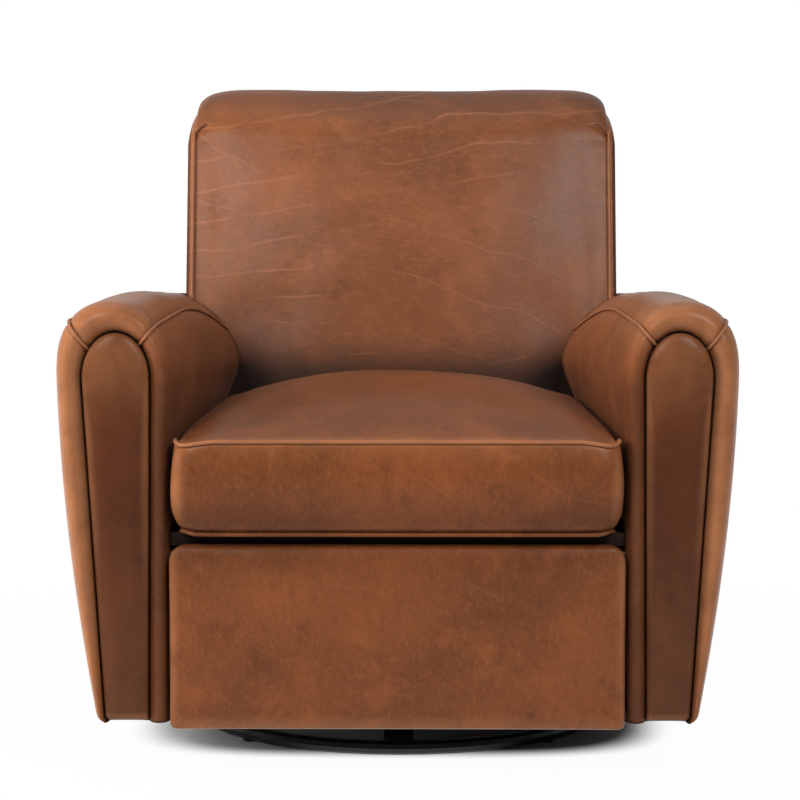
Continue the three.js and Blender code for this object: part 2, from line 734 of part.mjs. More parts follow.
const upholstered_arm = cut(
  arm_body(), behind_face(back.half_width + seat_gap), behind_rear(), below_body(),
  post_block(seat_gap), top_rail_block(seat_gap),
);
add_pair('arm', upholstered_arm, leather);

// The padded panel in the pocket of each arm's front
const pad = { side: 7, crown: 3, edge: 2 };
function arm_front_panel() {
  const rear = arm.front + arm.roll - seat_gap;
  const front = arm.front - pad.crown;
  const depth = rear - front;
  const inset_shares = [0, 0, 0.1, 0.35, 1];
  const depth_shares = [0, 0.5, 0.8, 0.94, 1];
  const slab = loft(inset_shares.map((inset, i) => {
    const inner = drawn_in(pocket_ring(), 3 * seat_gap + inset * (pad.side + pad.crown + pad.edge));
    return inner.map((p) => new THREE.Vector3(p.x, rear - depth * depth_shares[i], p.y));
  }), 'y');
  return cut(slab, below_body());
}
add_pair('arm_front_panel', arm_front_panel(), leather);

// Seat frame: a front rail, side rails that follow the arms, a rear seat rail and two slats
const dust = { gauge: 1 };
dust.bottom = rail.top + seat_gap;
const deck = { thick: 16.7, lap: 14, spring_room: 8 };
deck.bottom = deck_top - deck.thick;
const board = { thick: 20, foot_gap: 12, front_setback: 42 };
board.rail_bottom = dust.bottom + dust.gauge + seat_gap;
board.rail_top = deck.bottom - deck.spring_room;
board.foot = body_bottom + board.foot_gap;
const front_rail_y = front_y + board.front_setback;
const front_rail_rear = front_rail_y + board.thick;
const slat = { y: 110, width: 90, height: 21 };
const rear_seat = { from_rear: 234, thick: 22 };
rear_seat.y = rear_y - rear_seat.from_rear;
deck.rear = rear_seat.y + deck.lap;
const back_post = { width: 83.7, depth: 45 };
back_post.front_at = (z) => rear_plane_y(z) - back.panel - 2 * seat_gap - back_post.depth;

function wall_in(y, more) {
  return inner_wall(y) - seat_gap - more;
}

// A level board between the arms: its ends follow the arms' inner walls, drawn in by `more`
function cross_board(y0, y1, z0, z1, more) {
  return prism(outline([
    [-wall_in(y0, more), y0], [wall_in(y0, more), y0], [wall_in(y1, more), y1], [-wall_in(y1, more), y1],
  ]), 'z', z0, z1);
}

add('front_rail', cross_board(front_rail_y, front_rail_rear, board.foot, board.rail_top, 0), frame_wood);

const side_rail_front = front_rail_rear + seat_gap;
const side_rail_rear = back_post.front_at(board.rail_bottom) - seat_gap;
add_pair('side_rail', prism(outline([
  [wall_in(side_rail_front, board.thick), side_rail_front], [wall_in(side_rail_front, 0), side_rail_front],
  [wall_in(side_rail_rear, 0), side_rail_rear], [wall_in(side_rail_rear, board.thick), side_rail_rear],
]), 'z', board.rail_bottom, board.rail_top), frame_wood);

const inside_rails = board.thick + seat_gap;
add('rear_seat_rail', cross_board(
  rear_seat.y, rear_seat.y + rear_seat.thick, board.rail_bottom, board.rail_top, inside_rails,
), frame_wood);
for (const [end, y] of Object.entries({ rear: slat.y, front: -slat.y })) {
  const [near, far] = [y - slat.width / 2, y + slat.width / 2];
  const geometry = cross_board(near, far, board.rail_bottom, board.rail_bottom + slat.height, inside_rails);
  add(`mount_slat_${end}`, geometry, frame_wood);
}

add('dust_cover', cross_board(
  side_rail_front, side_rail_rear, dust.bottom, dust.bottom + dust.gauge, 0,
), black_cloth);

// Back frame: two posts that lean with the rear of the chair, and a top rail on them
const back_rail = { height: 26.4, ledge_drop: 97 };
const ledge_z = back_top - back_rail.ledge_drop;
const back_rail_bottom = ledge_z - seat_gap - back_rail.height;
back_post.top = back_rail_bottom - seat_gap;
const side_band_inner = back.half_width - back.band;
add_pair('back_post', prism(outline([
  [back_post.front_at(board.foot), board.foot],
  [back_post.front_at(board.foot) + back_post.depth, board.foot],
  [back_post.front_at(back_post.top) + back_post.depth, back_post.top],
  [back_post.front_at(back_post.top), back_post.top],
]), 'x', side_band_inner - seat_gap - back_post.width, side_band_inner - seat_gap), frame_wood);

const cushion_rear_y = (z) => face_y(z) + back.thickness / Math.cos(radians(back_rake));
const back_rail_rear = rear_plane_y(back_rail_bottom) - back.panel - 2 * seat_gap;
add('back_top_rail', box(
  -side_band_inner + seat_gap, side_band_inner - seat_gap, cushion_rear_y(ledge_z) + seat_gap, back_rail_rear,
  back_rail_bottom, ledge_z - seat_gap,
), frame_wood);

add('outside_back', prism(outline([
  [rear_plane_y(body_bottom) - back.panel, body_bottom], [rear_plane_y(body_bottom), body_bottom],
  [rear_plane_y(ledge_z - seat_gap), ledge_z - seat_gap],
  [rear_plane_y(ledge_z - seat_gap) - back.panel, ledge_z - seat_gap],
]), 'x', -back.half_width, back.half_width), leather);

// The bands that close the sides of the back, from the cushion to the outside back
add_pair('back_side', prism(outline([
  [cushion_rear_y(board.foot) + seat_gap, board.foot],
  [rear_plane_y(board.foot) - back.panel - seat_gap, board.foot],
  [rear_plane_y(ledge_z - seat_gap) - back.panel - seat_gap, ledge_z - seat_gap],
  [cushion_rear_y(ledge_z - seat_gap) + seat_gap, ledge_z - seat_gap],
]), 'x', side_band_inner, back.half_width), leather);

// Back cushion: a leaning slab that rolls over the top rail, lofted from side to side
const back_form = {
  shoulder_drop: 89, peak_out: 100, side_round: 13, corner_width: 48, corner_drop: 40, crown: 24, bottom_round: 12,
};
back_form.shoulder_z = back_top - back_form.shoulder_drop;
back_form.crown_half = arm.inner_rear - arm.overhang_rear;
back_form.steps = { face: 6, arc: 5, side: 4 };
back_form.station_shares = [1, 0.75, 0.5, 0.25, 0];

function front_crown(x, z) {
  const across = Math.max(1 - (x / back_form.crown_half) ** 2, 0);
  return back_form.crown * across * Math.sin(share_of(z, deck_top + seat_gap, back_top) * Math.PI);
}

function back_ring(x, inset) {
  const { shoulder_z, peak_out, corner_width, corner_drop, bottom_round } = back_form;
  const corner = share_of(Math.abs(x), back.half_width - corner_width, back.half_width);
  const drop = corner_drop * (1 - Math.sqrt(1 - corner * corner));
  const bottom = deck_top + seat_gap;
  const points = [];
  for (let i = 0; i <= back_form.steps.face; i += 1) {
    const z = between(bottom + bottom_round, shoulder_z, i / back_form.steps.face);
    points.push([face_y(z) - front_crown(x, z), z]);
  }
  const [, last_z] = points[points.length - 1];
  const shoulder_y = points[points.length - 1][0];
  const peak_y = face_y(shoulder_z) + peak_out;
  const top = back_top - drop;
  for (let i = 1; i <= back_form.steps.arc; i += 1) {
    const turn = i / back_form.steps.arc * Math.PI / 2;
    points.push([between(peak_y, shoulder_y, Math.cos(turn)), between(last_z, top, Math.sin(turn))]);
  }
  const rear_z = back.rear_edge_z;
  for (let i = 1; i <= back_form.steps.arc; i += 1) {
    const turn = i / back_form.steps.arc * Math.PI / 2;
    points.push([between(peak_y, rear_plane_y(rear_z), Math.sin(turn)), between(rear_z, top, Math.cos(turn))]);
  }
  points.push([rear_plane_y(ledge_z), ledge_z], [cushion_rear_y(ledge_z), ledge_z]);
  points.push([cushion_rear_y((ledge_z + bottom) / 2), (ledge_z + bottom) / 2]);
  points.push([cushion_rear_y(bottom), bottom], [face_y(bottom) + bottom_round, bottom]);
  const ring = points.map(([y, z]) => new THREE.Vector2(y, z));
  return drawn_in(ring, inset).map((p) => new THREE.Vector3(x, p.x, p.y));
}

function back_cushion() {
  const { side_round, steps, station_shares, corner_width } = back_form;
  const ends = [];
  for (let i = 0; i <= steps.side; i += 1) {
    const turn = i / steps.side * Math.PI / 2;
    const x = back.half_width - side_round * (1 - Math.sin(turn));
    ends.push([x, side_round * (1 - Math.cos(turn))]);
  }
  ends.reverse();
  const stations = station_shares.map((share) => share * back_form.crown_half);
  const inner = [back.half_width - corner_width / 2, back.half_width - corner_width, ...stations];
  const half = [...ends, ...inner.map((x) => [x, 0])];
  const whole = [...half, ...half.slice(0, -1).reverse().map(([x, inset]) => [-x, inset])];
  return loft(whole.map(([x, inset]) => back_ring(x, inset)), 'x');
}
add('back_cushion', back_cushion(), leather);

// Seat springs: zigzag wires from the front rail to the rear seat rail
const zigzag = { wire: 2, swing: 22, loops: 15, arch: 2.5, steps: 4, sides: 4, count: 5, from_wall: 70.3 };
zigzag.spread = 2 * (inner_wall(rear_seat.y) - zigzag.from_wall) / (zigzag.count - 1);
function seat_spring(x) {
  const z = board.rail_top + seat_gap + zigzag.wire;
  const [start, end] = [front_rail_y + board.thick / 2, rear_seat.y + rear_seat.thick / 2];
  const count = zigzag.loops * zigzag.steps;
  const curve = new THREE.CatmullRomCurve3(Array.from({ length: count + 1 }, (_, i) => {
    const along = i / count;
    const swing = Math.sin(along * zigzag.loops * Math.PI);
    const snake = zigzag.swing * Math.sign(swing) * Math.sqrt(Math.abs(swing));
    return new THREE.Vector3(x + snake, between(start, end, along), z + zigzag.arch * Math.sin(along * Math.PI));
  }));
  const at = Array.from({ length: count + 1 }, (_, i) => i / count);
  return wire(
    at.map((t) => curve.getPoint(t)), at.map((t) => curve.getTangent(t)), zigzag.wire, zigzag.sides,
  );
}
for (let k = 0; k < zigzag.count; k += 1) {
  const x = (k - (zigzag.count - 1) / 2) * zigzag.spread;
  add(`seat_spring_${k + 1}`, seat_spring(x), spring_steel);
}

// Deck pad: felt over the springs, from the front panel to under the back cushion
add('deck_pad', cross_board(front_rail_y, deck.rear, deck.bottom, deck_top, 0), brown_felt);

// Front panel: padded, with round top corners
const front_pad = {
  setback: 14, below_body: 5.5, below_deck: 12.7, corner: 30, crown_inset: 60, side_steps: 4, corner_steps: 5,
};
front_pad.front = front_y + front_pad.setback;
front_pad.bottom = body_bottom - front_pad.below_body;
front_pad.top = deck_top - front_pad.below_deck;
function front_panel() {
  const rear = front_rail_y - seat_gap;
  const half_width = inner_wall(rear) - seat_gap;
  const half_height = (front_pad.top - front_pad.bottom) / 2;
  const middle_z = (front_pad.top + front_pad.bottom) / 2;
  const depth = rear - front_pad.front;
  const inset_shares = [0, 0, 0.06, 0.25, 1];
  const depth_shares = [0, 0.55, 0.82, 0.93, 1];
  const { corner, side_steps, corner_steps } = front_pad;
  return loft(inset_shares.map((share, i) => {
    const inset = share * front_pad.crown_inset;
    const ring = rounded_ring(
      half_width - inset, half_height - inset, Math.max(corner - inset, corner / 6), side_steps, corner_steps,
    );
    return ring.map((p) => new THREE.Vector3(p.x, rear - depth * depth_shares[i], p.y + middle_z));
  }), 'y');
}
add('front_panel', front_panel(), leather);

// Seat cushion: drawn-in sides between two seams, a crowned top, and a rear that leans with the back
const cushion = {
  side_gap: 4, rear_gap: 1, bottom: deck_top + seat_gap, corner: 26, side_bulge: 6, bottom_tuck: 10,
  crown: 56, rear_rise: 9,
};
cushion.steps = { side: 7, corner: 3 };
cushion.crown_power = 2.4;

function cushion_half_width(y) {
  return inner_wall(Math.max(y, arm.front)) - cushion.side_gap;
}

function cushion_rear(z) {
  return face_y(z) - front_crown(0, z) - cushion.rear_gap;
}

// One level of the cushion: its outline moved out by `out`, at `up` of the way from bottom to top seam
function cushion_level(out, up, dome = 0) {
  const { bottom, side_bulge, corner, rear_rise, crown, crown_power, steps } = cushion;
  const half_u = cushion_half_width(arm.front) - side_bulge;
  const seam = seat_front_edge + rear_rise;
  const rear = Math.min(cushion_rear(between(bottom, seam, up)), cushion_rear(seam));
  const half_v = (rear - front_y) / 2 - side_bulge;
  const radius = Math.max(corner + Math.min(out, 0), corner / 4);
  const ring = rounded_ring(half_u + out, half_v + out, radius, steps.side, steps.corner);
  return ring.map((p) => {
    const y = (rear + front_y) / 2 + p.y;
    const taper = (cushion_half_width(y) - side_bulge) / half_u;
    const back_share = share_of(p.y, -half_v, half_v);
    const across = 1 - Math.min(Math.abs(p.x) / half_u, 1) ** crown_power;
    const along = 1 - Math.min(Math.abs(p.y) / half_v, 1) ** crown_power;
    const edge = between(bottom, seat_front_edge + rear_rise * back_share, up);
    return new THREE.Vector3(p.x * taper, y, edge + dome * crown * across * along);
  });
}

function seat_cushion() {
  const { side_bulge, bottom_tuck } = cushion;
  const sides = [[-bottom_tuck - cushion.corner, 0], [-bottom_tuck, 0], [0, 0.06], [side_bulge, 0.5], [0, 0.95]];
  const half_depth = (cushion_rear(cushion.bottom) - front_y) / 2 - side_bulge;
  const half_width = cushion_half_width(arm.front) - side_bulge;
  const inset_shares = [0.02, 0.08, 0.2, 0.36, 0.54, 0.74, 0.94];
  const top = inset_shares.map((share) => cushion_level(-share * Math.min(half_depth, half_width), 1, 1));
  return loft([...sides.map(([out, up]) => cushion_level(out, up)), ...top], 'z');
}

add('seat_cushion', seat_cushion(), leather);

export default chair;
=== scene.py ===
from math import copysign, cos, exp, pi, radians, sin, sqrt, tan, tanh

import bmesh
import bpy
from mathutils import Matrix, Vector, noise
from mathutils.kdtree import KDTree


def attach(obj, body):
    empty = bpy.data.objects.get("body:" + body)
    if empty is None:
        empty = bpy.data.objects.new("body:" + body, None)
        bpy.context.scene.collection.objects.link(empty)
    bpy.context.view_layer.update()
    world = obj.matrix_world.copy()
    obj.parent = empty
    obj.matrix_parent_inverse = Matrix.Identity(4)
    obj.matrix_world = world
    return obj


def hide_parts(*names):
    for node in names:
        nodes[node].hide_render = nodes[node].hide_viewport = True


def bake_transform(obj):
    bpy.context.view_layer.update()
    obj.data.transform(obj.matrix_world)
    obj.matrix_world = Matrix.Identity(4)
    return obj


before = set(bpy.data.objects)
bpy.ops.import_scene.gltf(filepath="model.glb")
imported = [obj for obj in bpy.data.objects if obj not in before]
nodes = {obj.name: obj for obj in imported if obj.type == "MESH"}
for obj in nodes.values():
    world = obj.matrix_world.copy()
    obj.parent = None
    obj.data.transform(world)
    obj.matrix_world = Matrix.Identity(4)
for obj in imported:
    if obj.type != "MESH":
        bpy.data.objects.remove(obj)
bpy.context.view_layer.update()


# The ring base: bent steel tube and four pressed channel arms, powder coated in satin black,
# riveted to a hub plate. Finishes are written here as arithmetic on the sockets of their nodes.
class Value:
    """A number that varies over a surface. Arithmetic on it adds Math nodes."""

    def __init__(self, finish, socket):
        self.finish, self.socket = finish, socket

    def math(self, operation, *others):
        return self.finish.node("ShaderNodeMath", {"operation": operation}, dict(enumerate(others)))

    def __add__(self, other):
        return self.math("ADD", self, other)

    __radd__ = __add__

    def __sub__(self, other):
        return self.math("SUBTRACT", self, other)

    def __rsub__(self, other):
        return self.math("SUBTRACT", other, self)

    def __mul__(self, other):
        return self.math("MULTIPLY", self, other)

    __rmul__ = __mul__

    def __pow__(self, other):
        return self.math("POWER", self, other)

    def size(self):
        return self.math("ABSOLUTE", self)

    def part_of_one(self):
        return self.math("FRACT", self)

    def along(self, way):
        """How far this place lies along a direction."""
        settings = {"operation": "DOT_PRODUCT"}
        return self.finish.node("ShaderNodeVectorMath", settings, {0: self, 1: way}, "Value")

    def eased(self, low, high):
        """0 below low, 1 above high, and a smooth rise between. With low above high it falls."""
        limits = {"Value": self, "From Min": min(low, high), "From Max": max(low, high)}
        limits.update({"To Min": float(low > high), "To Max": float(low < high)})
        settings = {"interpolation_type": "SMOOTHSTEP"}
        return self.finish.node("ShaderNodeMapRange", settings, limits, "Result")


class Finish:
    """The nodes of one material, or of the world's light."""

    def __init__(self, owner, **constants):
        owner = bpy.data.materials.new(owner) if isinstance(owner, str) else owner
        owner.use_nodes = True
        self.owner, self.tree = owner, owner.node_tree
        self.tree.nodes.clear()
        if constants:
            self.surface = self.tree.nodes.new("ShaderNodeBsdfPrincipled")
            self.shown(Value(self, self.surface.outputs["BSDF"]), "ShaderNodeOutputMaterial")
            self.set(**constants)

    def shown(self, shader, kind):
        self.node(kind, None, {"Surface": shader}, None)

    def put(self, socket, value):
        if isinstance(value, Value):
            self.tree.links.new(value.socket, socket)
        elif hasattr(socket.default_value, "__len__") and len(socket.default_value) == 4:
            socket.default_value = (*value[:3], 1.0)
        else:
            socket.default_value = value

    def node(self, kind, settings=None, inputs=None, output=0):
        made = self.tree.nodes.new(kind)
        for key, value in (settings or {}).items():
            setattr(made, key, value)
        for key, value in (inputs or {}).items():
            self.put(made.inputs[key], value)
        return None if output is None else Value(self, made.outputs[output])

    def set(self, **sockets):
        for key, value in sockets.items():
            self.put(self.surface.inputs[key.replace("_", " ")], value)

    def place(self, stretch=(1, 1, 1), shift=(0, 0, 0), turn=(0, 0, 0)):
        """The piece's own coordinates in metres, stretched, shifted and turned."""
        here = self.node("ShaderNodeTexCoord", output="Object")
        moved = {"Vector": here, "Scale": stretch, "Location": shift, "Rotation": turn}
        return self.node("ShaderNodeMapping", None, moved)

    def cloud(self, place, scale, detail=3.0, rough=0.55, warp=0.0):
        inputs = {"Vector": place, "Scale": scale, "Detail": detail, "Roughness": rough, "Distortion": warp}
        return self.node("ShaderNodeTexNoise", None, inputs)

    def cells(self, place, scale):
        return self.node("ShaderNodeTexVoronoi", None, {"Vector": place, "Scale": scale}, "Distance")

    def attribute(self, name):
        return self.node("ShaderNodeAttribute", {"attribute_name": name}, None, "Fac")

    def mixed(self, share, first, second):
        settings = {"data_type": "RGBA", "clamp_factor": True}
        return self.node("ShaderNodeMix", settings, {0: share, 6: first, 7: second}, 2)

    def made(self, colour, roughness, height, distance, strength):
        """The material, with what varies in its colour, its gloss and its relief."""
        relief = {"Height": height, "Distance": distance, "Strength": strength}
        self.set(Base_Color=colour, Roughness=roughness, Normal=self.node("ShaderNodeBump", None, relief))
        return self.owner


def dress(names, material):
    for name in names:
        node = nodes[name]
        node.data.materials.clear()
        node.data.materials.append(material)


finish = Finish("black_powder_coat", Specular_IOR_Level=0.45)
place = finish.place()
orange_peel = finish.cloud(place, 900.0, 2.0)
dust = finish.cloud(place, 14.0, 5.0).eased(0.45, 0.75)
colour = finish.mixed(dust * 0.5, (0.008, 0.008, 0.009), (0.026, 0.024, 0.023))
roughness = 0.3 + 0.18 * dust + 0.06 * orange_peel
powder_coat = finish.made(colour, roughness, orange_peel, 0.0002, 0.35)
base_arms = [f"base_arm_{way}" for way in ("right", "rear", "left", "front")]
dress(["base_ring", "base_hub", *base_arms], powder_coat)


# The floor glides: four moulded nylon saddles pressed under the ring, matt black,
# with the fine pebble that a spark-eroded mould leaves.
finish = Finish("black_nylon", Specular_IOR_Level=0.4)
place = finish.place()
pebble = finish.cells(place, 1400.0)
colour = finish.mixed(finish.cloud(place, 60.0), (0.012, 0.012, 0.013), (0.028, 0.027, 0.026))
nylon = finish.made(colour, 0.55 + 0.15 * pebble, pebble, 0.0002, 0.4)
dress([f"floor_glide_{k}" for k in (1, 2, 3, 4)], nylon)


# The bearing and its pins: turned and pressed steel, zinc plated, with fine turning marks
# round the upright axis and a trace of grease in the grooves.
finish = Finish("zinc_plate", Metallic=1.0)
marks = finish.cloud(finish.place((1, 1, 14)), 240.0)
grease = finish.cloud(finish.place(), 35.0, 4.0).eased(0.5, 0.72)
colour = finish.mixed(grease, (0.5, 0.51, 0.52), (0.24, 0.22, 0.17))
zinc = finish.made(colour, 0.28 + 0.14 * marks + 0.1 * grease, marks, 0.0001, 0.3)
bearing = ["lower_race", "upper_race", "ball_cage", "king_pin", "pivot_pin_left", "pivot_pin_right"]
dress(bearing, zinc)


# The rocker base, rails and spring bars: pressed plate in the same black coat,
# with bump stops of moulded rubber clipped on the ledges.
finish = Finish("black_rubber", Specular_IOR_Level=0.3)
place = finish.place()
bloom = finish.cloud(place, 45.0, 5.0)
colour = finish.mixed(bloom, (0.01, 0.01, 0.01), (0.034, 0.033, 0.031))
rubber = finish.made(colour, 0.72 + 0.16 * bloom, finish.cloud(place, 1100.0, 2.0), 0.0002, 0.4)
sides, ends = ("left", "right"), ("front", "rear")
rails, bars = [f"rocker_rail_{side}" for side in sides], [f"spring_bar_{end}" for end in ends]
dress(["rocker_base", *rails, *bars], powder_coat)
dress([f"{end}_bump_stop_{side}" for end in ends for side in sides], rubber)


# The rocker springs: four closed-end coils of 7 mm oil-tempered wire between the rocker base and
# the spring bars. Each is wound once round a helix.
finish = Finish("oiled_spring_wire", Metallic=1.0)
drawn = finish.cloud(finish.place((1, 1, 6)), 320.0)
scale_spots = finish.cloud(finish.place(), 90.0, 4.0).eased(0.5, 0.7)
colour = finish.mixed(scale_spots, (0.22, 0.22, 0.23), (0.1, 0.085, 0.07))
spring_steel = finish.made(colour, 0.3 + 0.15 * drawn + 0.12 * scale_spots, drawn, 0.0001, 0.3)


def only(piece):
    bpy.ops.object.select_all(action="DESELECT")
    piece.select_set(True)
    bpy.context.view_layer.objects.active = piece
    return piece


def in_scene(name, data):
    """A new object with this curve or mesh, selected alone."""
    piece = bpy.data.objects.new(name, data)
    bpy.context.scene.collection.objects.link(piece)
    return only(piece)


def tube_along(name, points, radius, facets=8, closed=False):
    """A round cord along points, as one closed mesh."""
    curve = bpy.data.curves.new(name, "CURVE")
    curve.dimensions = "3D"
    curve.bevel_depth = radius
    curve.bevel_resolution = max(facets // 2 - 1, 1)
    curve.use_fill_caps = True
    line = curve.splines.new("POLY")
    line.points.add(len(points) - 1)
    for point, p in zip(line.points, points):
        point.co = (*p, 1.0)
    line.use_cyclic_u = closed
    piece = in_scene(name, curve)
    bpy.ops.object.convert(target="MESH")
    bpy.ops.object.shade_smooth()
    return piece


coil_radius, coil_wire, coil_turns, coil_end_turns = 0.023, 0.0035, 6, 0.75
coil_foot, coil_head = 0.0783, 0.1801
coil_low, coil_high = coil_foot + coil_wire + 0.0001, coil_head - coil_wire - 0.0001


def coil_point(t):
    turns = t * coil_turns
    closed_pitch = 2 * coil_wire + 0.0006
    end_part = min(turns, coil_end_turns) + max(turns - coil_turns + coil_end_turns, 0)
    open_share = min(max((turns - coil_end_turns) / (coil_turns - 2 * coil_end_turns), 0), 1)
    open_rise = coil_high - coil_low - 2 * coil_end_turns * closed_pitch
    turn = turns * 2 * pi
    height = coil_low + end_part * closed_pitch + open_share * open_rise
    return Vector((coil_radius * cos(turn), coil_radius * sin(turn), height))


for end, y in zip(ends, (-0.1, 0.1)):
    for side, x in zip(sides, (-0.112, 0.112)):
        steps = 40 * coil_turns
        points = [coil_point(i / steps) + Vector((x, y, 0)) for i in range(steps + 1)]
        coil = tube_along(f"coil_{end}_{side}", points, coil_wire, 10)
        coil.data.materials.append(spring_steel)
        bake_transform(coil)
        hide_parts(f"rocker_spring_{end}_{side}")
dress([f"seat_spring_{k}" for k in range(1, 6)], spring_steel)


# The hardwood frame inside the covers: rails, posts and slats of sawn beech, unfinished,
# with the grain along each board and a few darker rays.
def sawn_wood(name, along):
    finish = Finish(name, Specular_IOR_Level=0.3)
    grain_way = tuple(1.2 if axis == along else 18.0 for axis in "xyz")
    ray_way = tuple(4.0 if axis == along else 30.0 for axis in "xyz")
    grain = finish.cloud(finish.place(grain_way), 5.0, 6.0, 0.6, 0.6)
    rays = finish.cloud(finish.place(ray_way), 9.0, 2.0).eased(0.6, 0.7)
    tone = finish.mixed(grain.eased(0.35, 0.7), (0.52, 0.33, 0.17), (0.36, 0.2, 0.09))
    colour = finish.mixed(rays * 0.4, tone, (0.24, 0.12, 0.05))
    return finish.made(colour, 0.62 + 0.2 * grain, grain + 0.4 * rays, 0.0006, 0.5)


upright = [f"{post}_post_{side}" for post in ("arm", "back") for side in sides]
lengthwise = [f"{rail}_rail_{side}" for rail in ("side", "arm_top") for side in sides]
crosswise = ["front_rail", "rear_seat_rail", "mount_slat_front", "mount_slat_rear", "back_top_rail"]
for names, along in ((upright, "z"), (lengthwise, "y"), (crosswise, "x")):
    dress(names, sawn_wood(f"beech_{along}", along))


# The deck over the seat springs is dark brown needled felt, and the dust cover under the seat is
# black spun cambric, stapled to the rails. The felt is made darker than its own colour, as painted
# shade for the gap under the cushion.
def needled(name, light, dark, scale):
    finish = Finish(name, Specular_IOR_Level=0.2)
    place = finish.place()
    fibres = finish.cloud(place, scale, 6.0, 0.7, 1.2)
    lumps = finish.cloud(place, 30.0)
    colour = finish.mixed(0.6 * fibres + 0.4 * lumps, dark, light)
    return finish.made(colour, 0.88 + 0.1 * fibres, fibres + 0.5 * lumps, 0.0008, 0.6)


# Painted shade: the felt is darker than its own brown.
felt = needled("brown_felt", (0.03, 0.017, 0.01), (0.01, 0.005, 0.003), 420.0)
cambric = needled("black_cambric", (0.035, 0.034, 0.033), (0.01, 0.01, 0.01), 700.0)
dress(["deck_pad"], felt)
dress(["dust_cover"], cambric)


# The leather: one waxed and rubbed brown hide for the whole chair. It is mottled, its veins and
# creases are pale, and its edges are rubbed to tan; the same tan paints light on a few lit places,
# and a dark tone paints shade in seams, recesses and sides turned from the light, with a little dirt.
# Wear and painted light share the tan; painted shade and dirt share the dark tone.
rubbed_tan, shade_and_dirt_tone = (0.4, 0.16, 0.066), (0.012, 0.0035, 0.0018)


def leather(name, tone, vein_way, vein_gap, veins, seed, mottle, streak_way):
    sheen = {"Sheen_Weight": 0.03, "Sheen_Roughness": 0.4, "Sheen_Tint": (1.0, 0.88, 0.8)}
    hide = Finish(name, Specular_IOR_Level=0.19, **sheen)

    def shade(level, warmth=1.0):
        return tone[0] * level * warmth, tone[1] * level, tone[2] * level / warmth

    place = hide.place(shift=(seed, seed * 0.7, seed * 1.3))
    broad = hide.cloud(place, 4.2, 4.0, 0.55, 0.4)
    patch = hide.cloud(place, 19.0, 6.0, 0.62, 0.3)
    fleck = hide.cloud(place, 85.0, 5.0, 0.65)
    colour = hide.mixed(broad.eased(0.34, 0.66), shade(0.84, 0.98), shade(1.15, 1.02))
    colour = hide.mixed(patch.eased(0.5, 0.74) * 0.5 * mottle, colour, shade(1.5, 1.03))
    colour = hide.mixed(patch.eased(0.46, 0.26) * 0.5 * mottle, colour, shade(0.62, 0.96))
    colour = hide.mixed(fleck.eased(0.54, 0.7) * 0.3 * mottle, colour, shade(1.6))
    colour = hide.mixed(fleck.eased(0.44, 0.28) * 0.34 * mottle, colour, shade(0.55))

    streak = hide.cloud(hide.place(streak_way, (seed, 0, seed)), 175.0, 5.0, 0.7, 0.5)
    colour = hide.mixed(streak.eased(0.52, 0.68) * 0.36 * mottle, colour, shade(1.6))
    colour = hide.mixed(streak.eased(0.47, 0.31) * 0.36 * mottle, colour, shade(0.58))

    def vein_lines(way, gap, width, wander, shift):
        bend = hide.cloud(hide.place(shift=(shift, seed, shift)), 3.2, 3.0, 0.5, 0.2)
        fine_bend = hide.cloud(hide.place(shift=(seed, shift, seed)), 17.0, 2.0)
        flow = hide.place().along(tuple(part / gap for part in way)) + bend * wander + fine_bend * 0.2
        broken = hide.cloud(hide.place(shift=(shift, 0, seed)), 5.0, 3.0, 0.6).eased(0.43, 0.6)
        return ((flow.part_of_one() - 0.5).size()).eased(width / gap, 0.0) * broken

    across = Vector(vein_way).normalized()
    slanted = (across + Vector((0.55, 0.1, 0.1))).normalized()
    vein = vein_lines(across, vein_gap, 0.003, 2.2, seed + 4.0) * 0.55
    vein = vein + vein_lines(slanted, vein_gap * 1.7, 0.0024, 1.6, seed + 9.0) * 0.34
    colour = hide.mixed(vein * veins, colour, (tone[0] * 1.7, tone[1] * 1.9, tone[2] * 2.3))

    # Rubbed wear and painted light lighten towards the tan; painted shade and dirt darken towards the dark
    # tone.
    rubbed = hide.attribute("rubbed") * (0.55 + 0.45 * patch.eased(0.3, 0.6))
    colour = hide.mixed(rubbed, colour, rubbed_tan)
    soiled = hide.attribute("soiled")
    colour = hide.mixed(soiled, colour, shade_and_dirt_tone)

    pores = hide.cells(place, 620.0)
    grain = hide.cloud(place, 1500.0, 2.0, 0.6)
    wrinkle = hide.cloud(place, 48.0, 4.0, 0.6, 0.8)
    roughness = 0.23 + 0.12 * patch + 0.06 * fleck + 0.3 * soiled
    relief = pores * 0.35 + grain * 0.25 + wrinkle * 0.9 + vein * 0.5
    return hide.made(colour, roughness, relief, 0.0009, 0.3)


level_way, upright_way = (0.4, 1.0, 1.7), (1.3, 1.3, 0.62)
hides = {
    "arm": ((0.16, 0.05, 0.0165), (0.2, 1.0, 0.5), 0.09, 0.35, 1.3, 1.0, upright_way),
    "pad": ((0.066, 0.0168, 0.0034), (0.1, 0.0, 1.0), 0.11, 0.15, 4.1, 0.8, upright_way),
    "back": ((0.19, 0.064, 0.024), (-0.1, 0.0, 1.0), 0.046, 0.95, 2.2, 0.95, level_way),
    "seat": ((0.155, 0.046, 0.013), (0.5, 0.4, 1.0), 0.085, 0.35, 6.4, 1.25, upright_way),
    "welt": ((0.25, 0.088, 0.037), (0.0, 1.0, 1.0), 0.2, 0.0, 3.3, 0.6, level_way),
}
leathers = [leather(f"{piece}_leather", *hide) for piece, hide in hides.items()]
arm_leather, pad_leather, back_leather, seat_leather, welt_leather = leathers


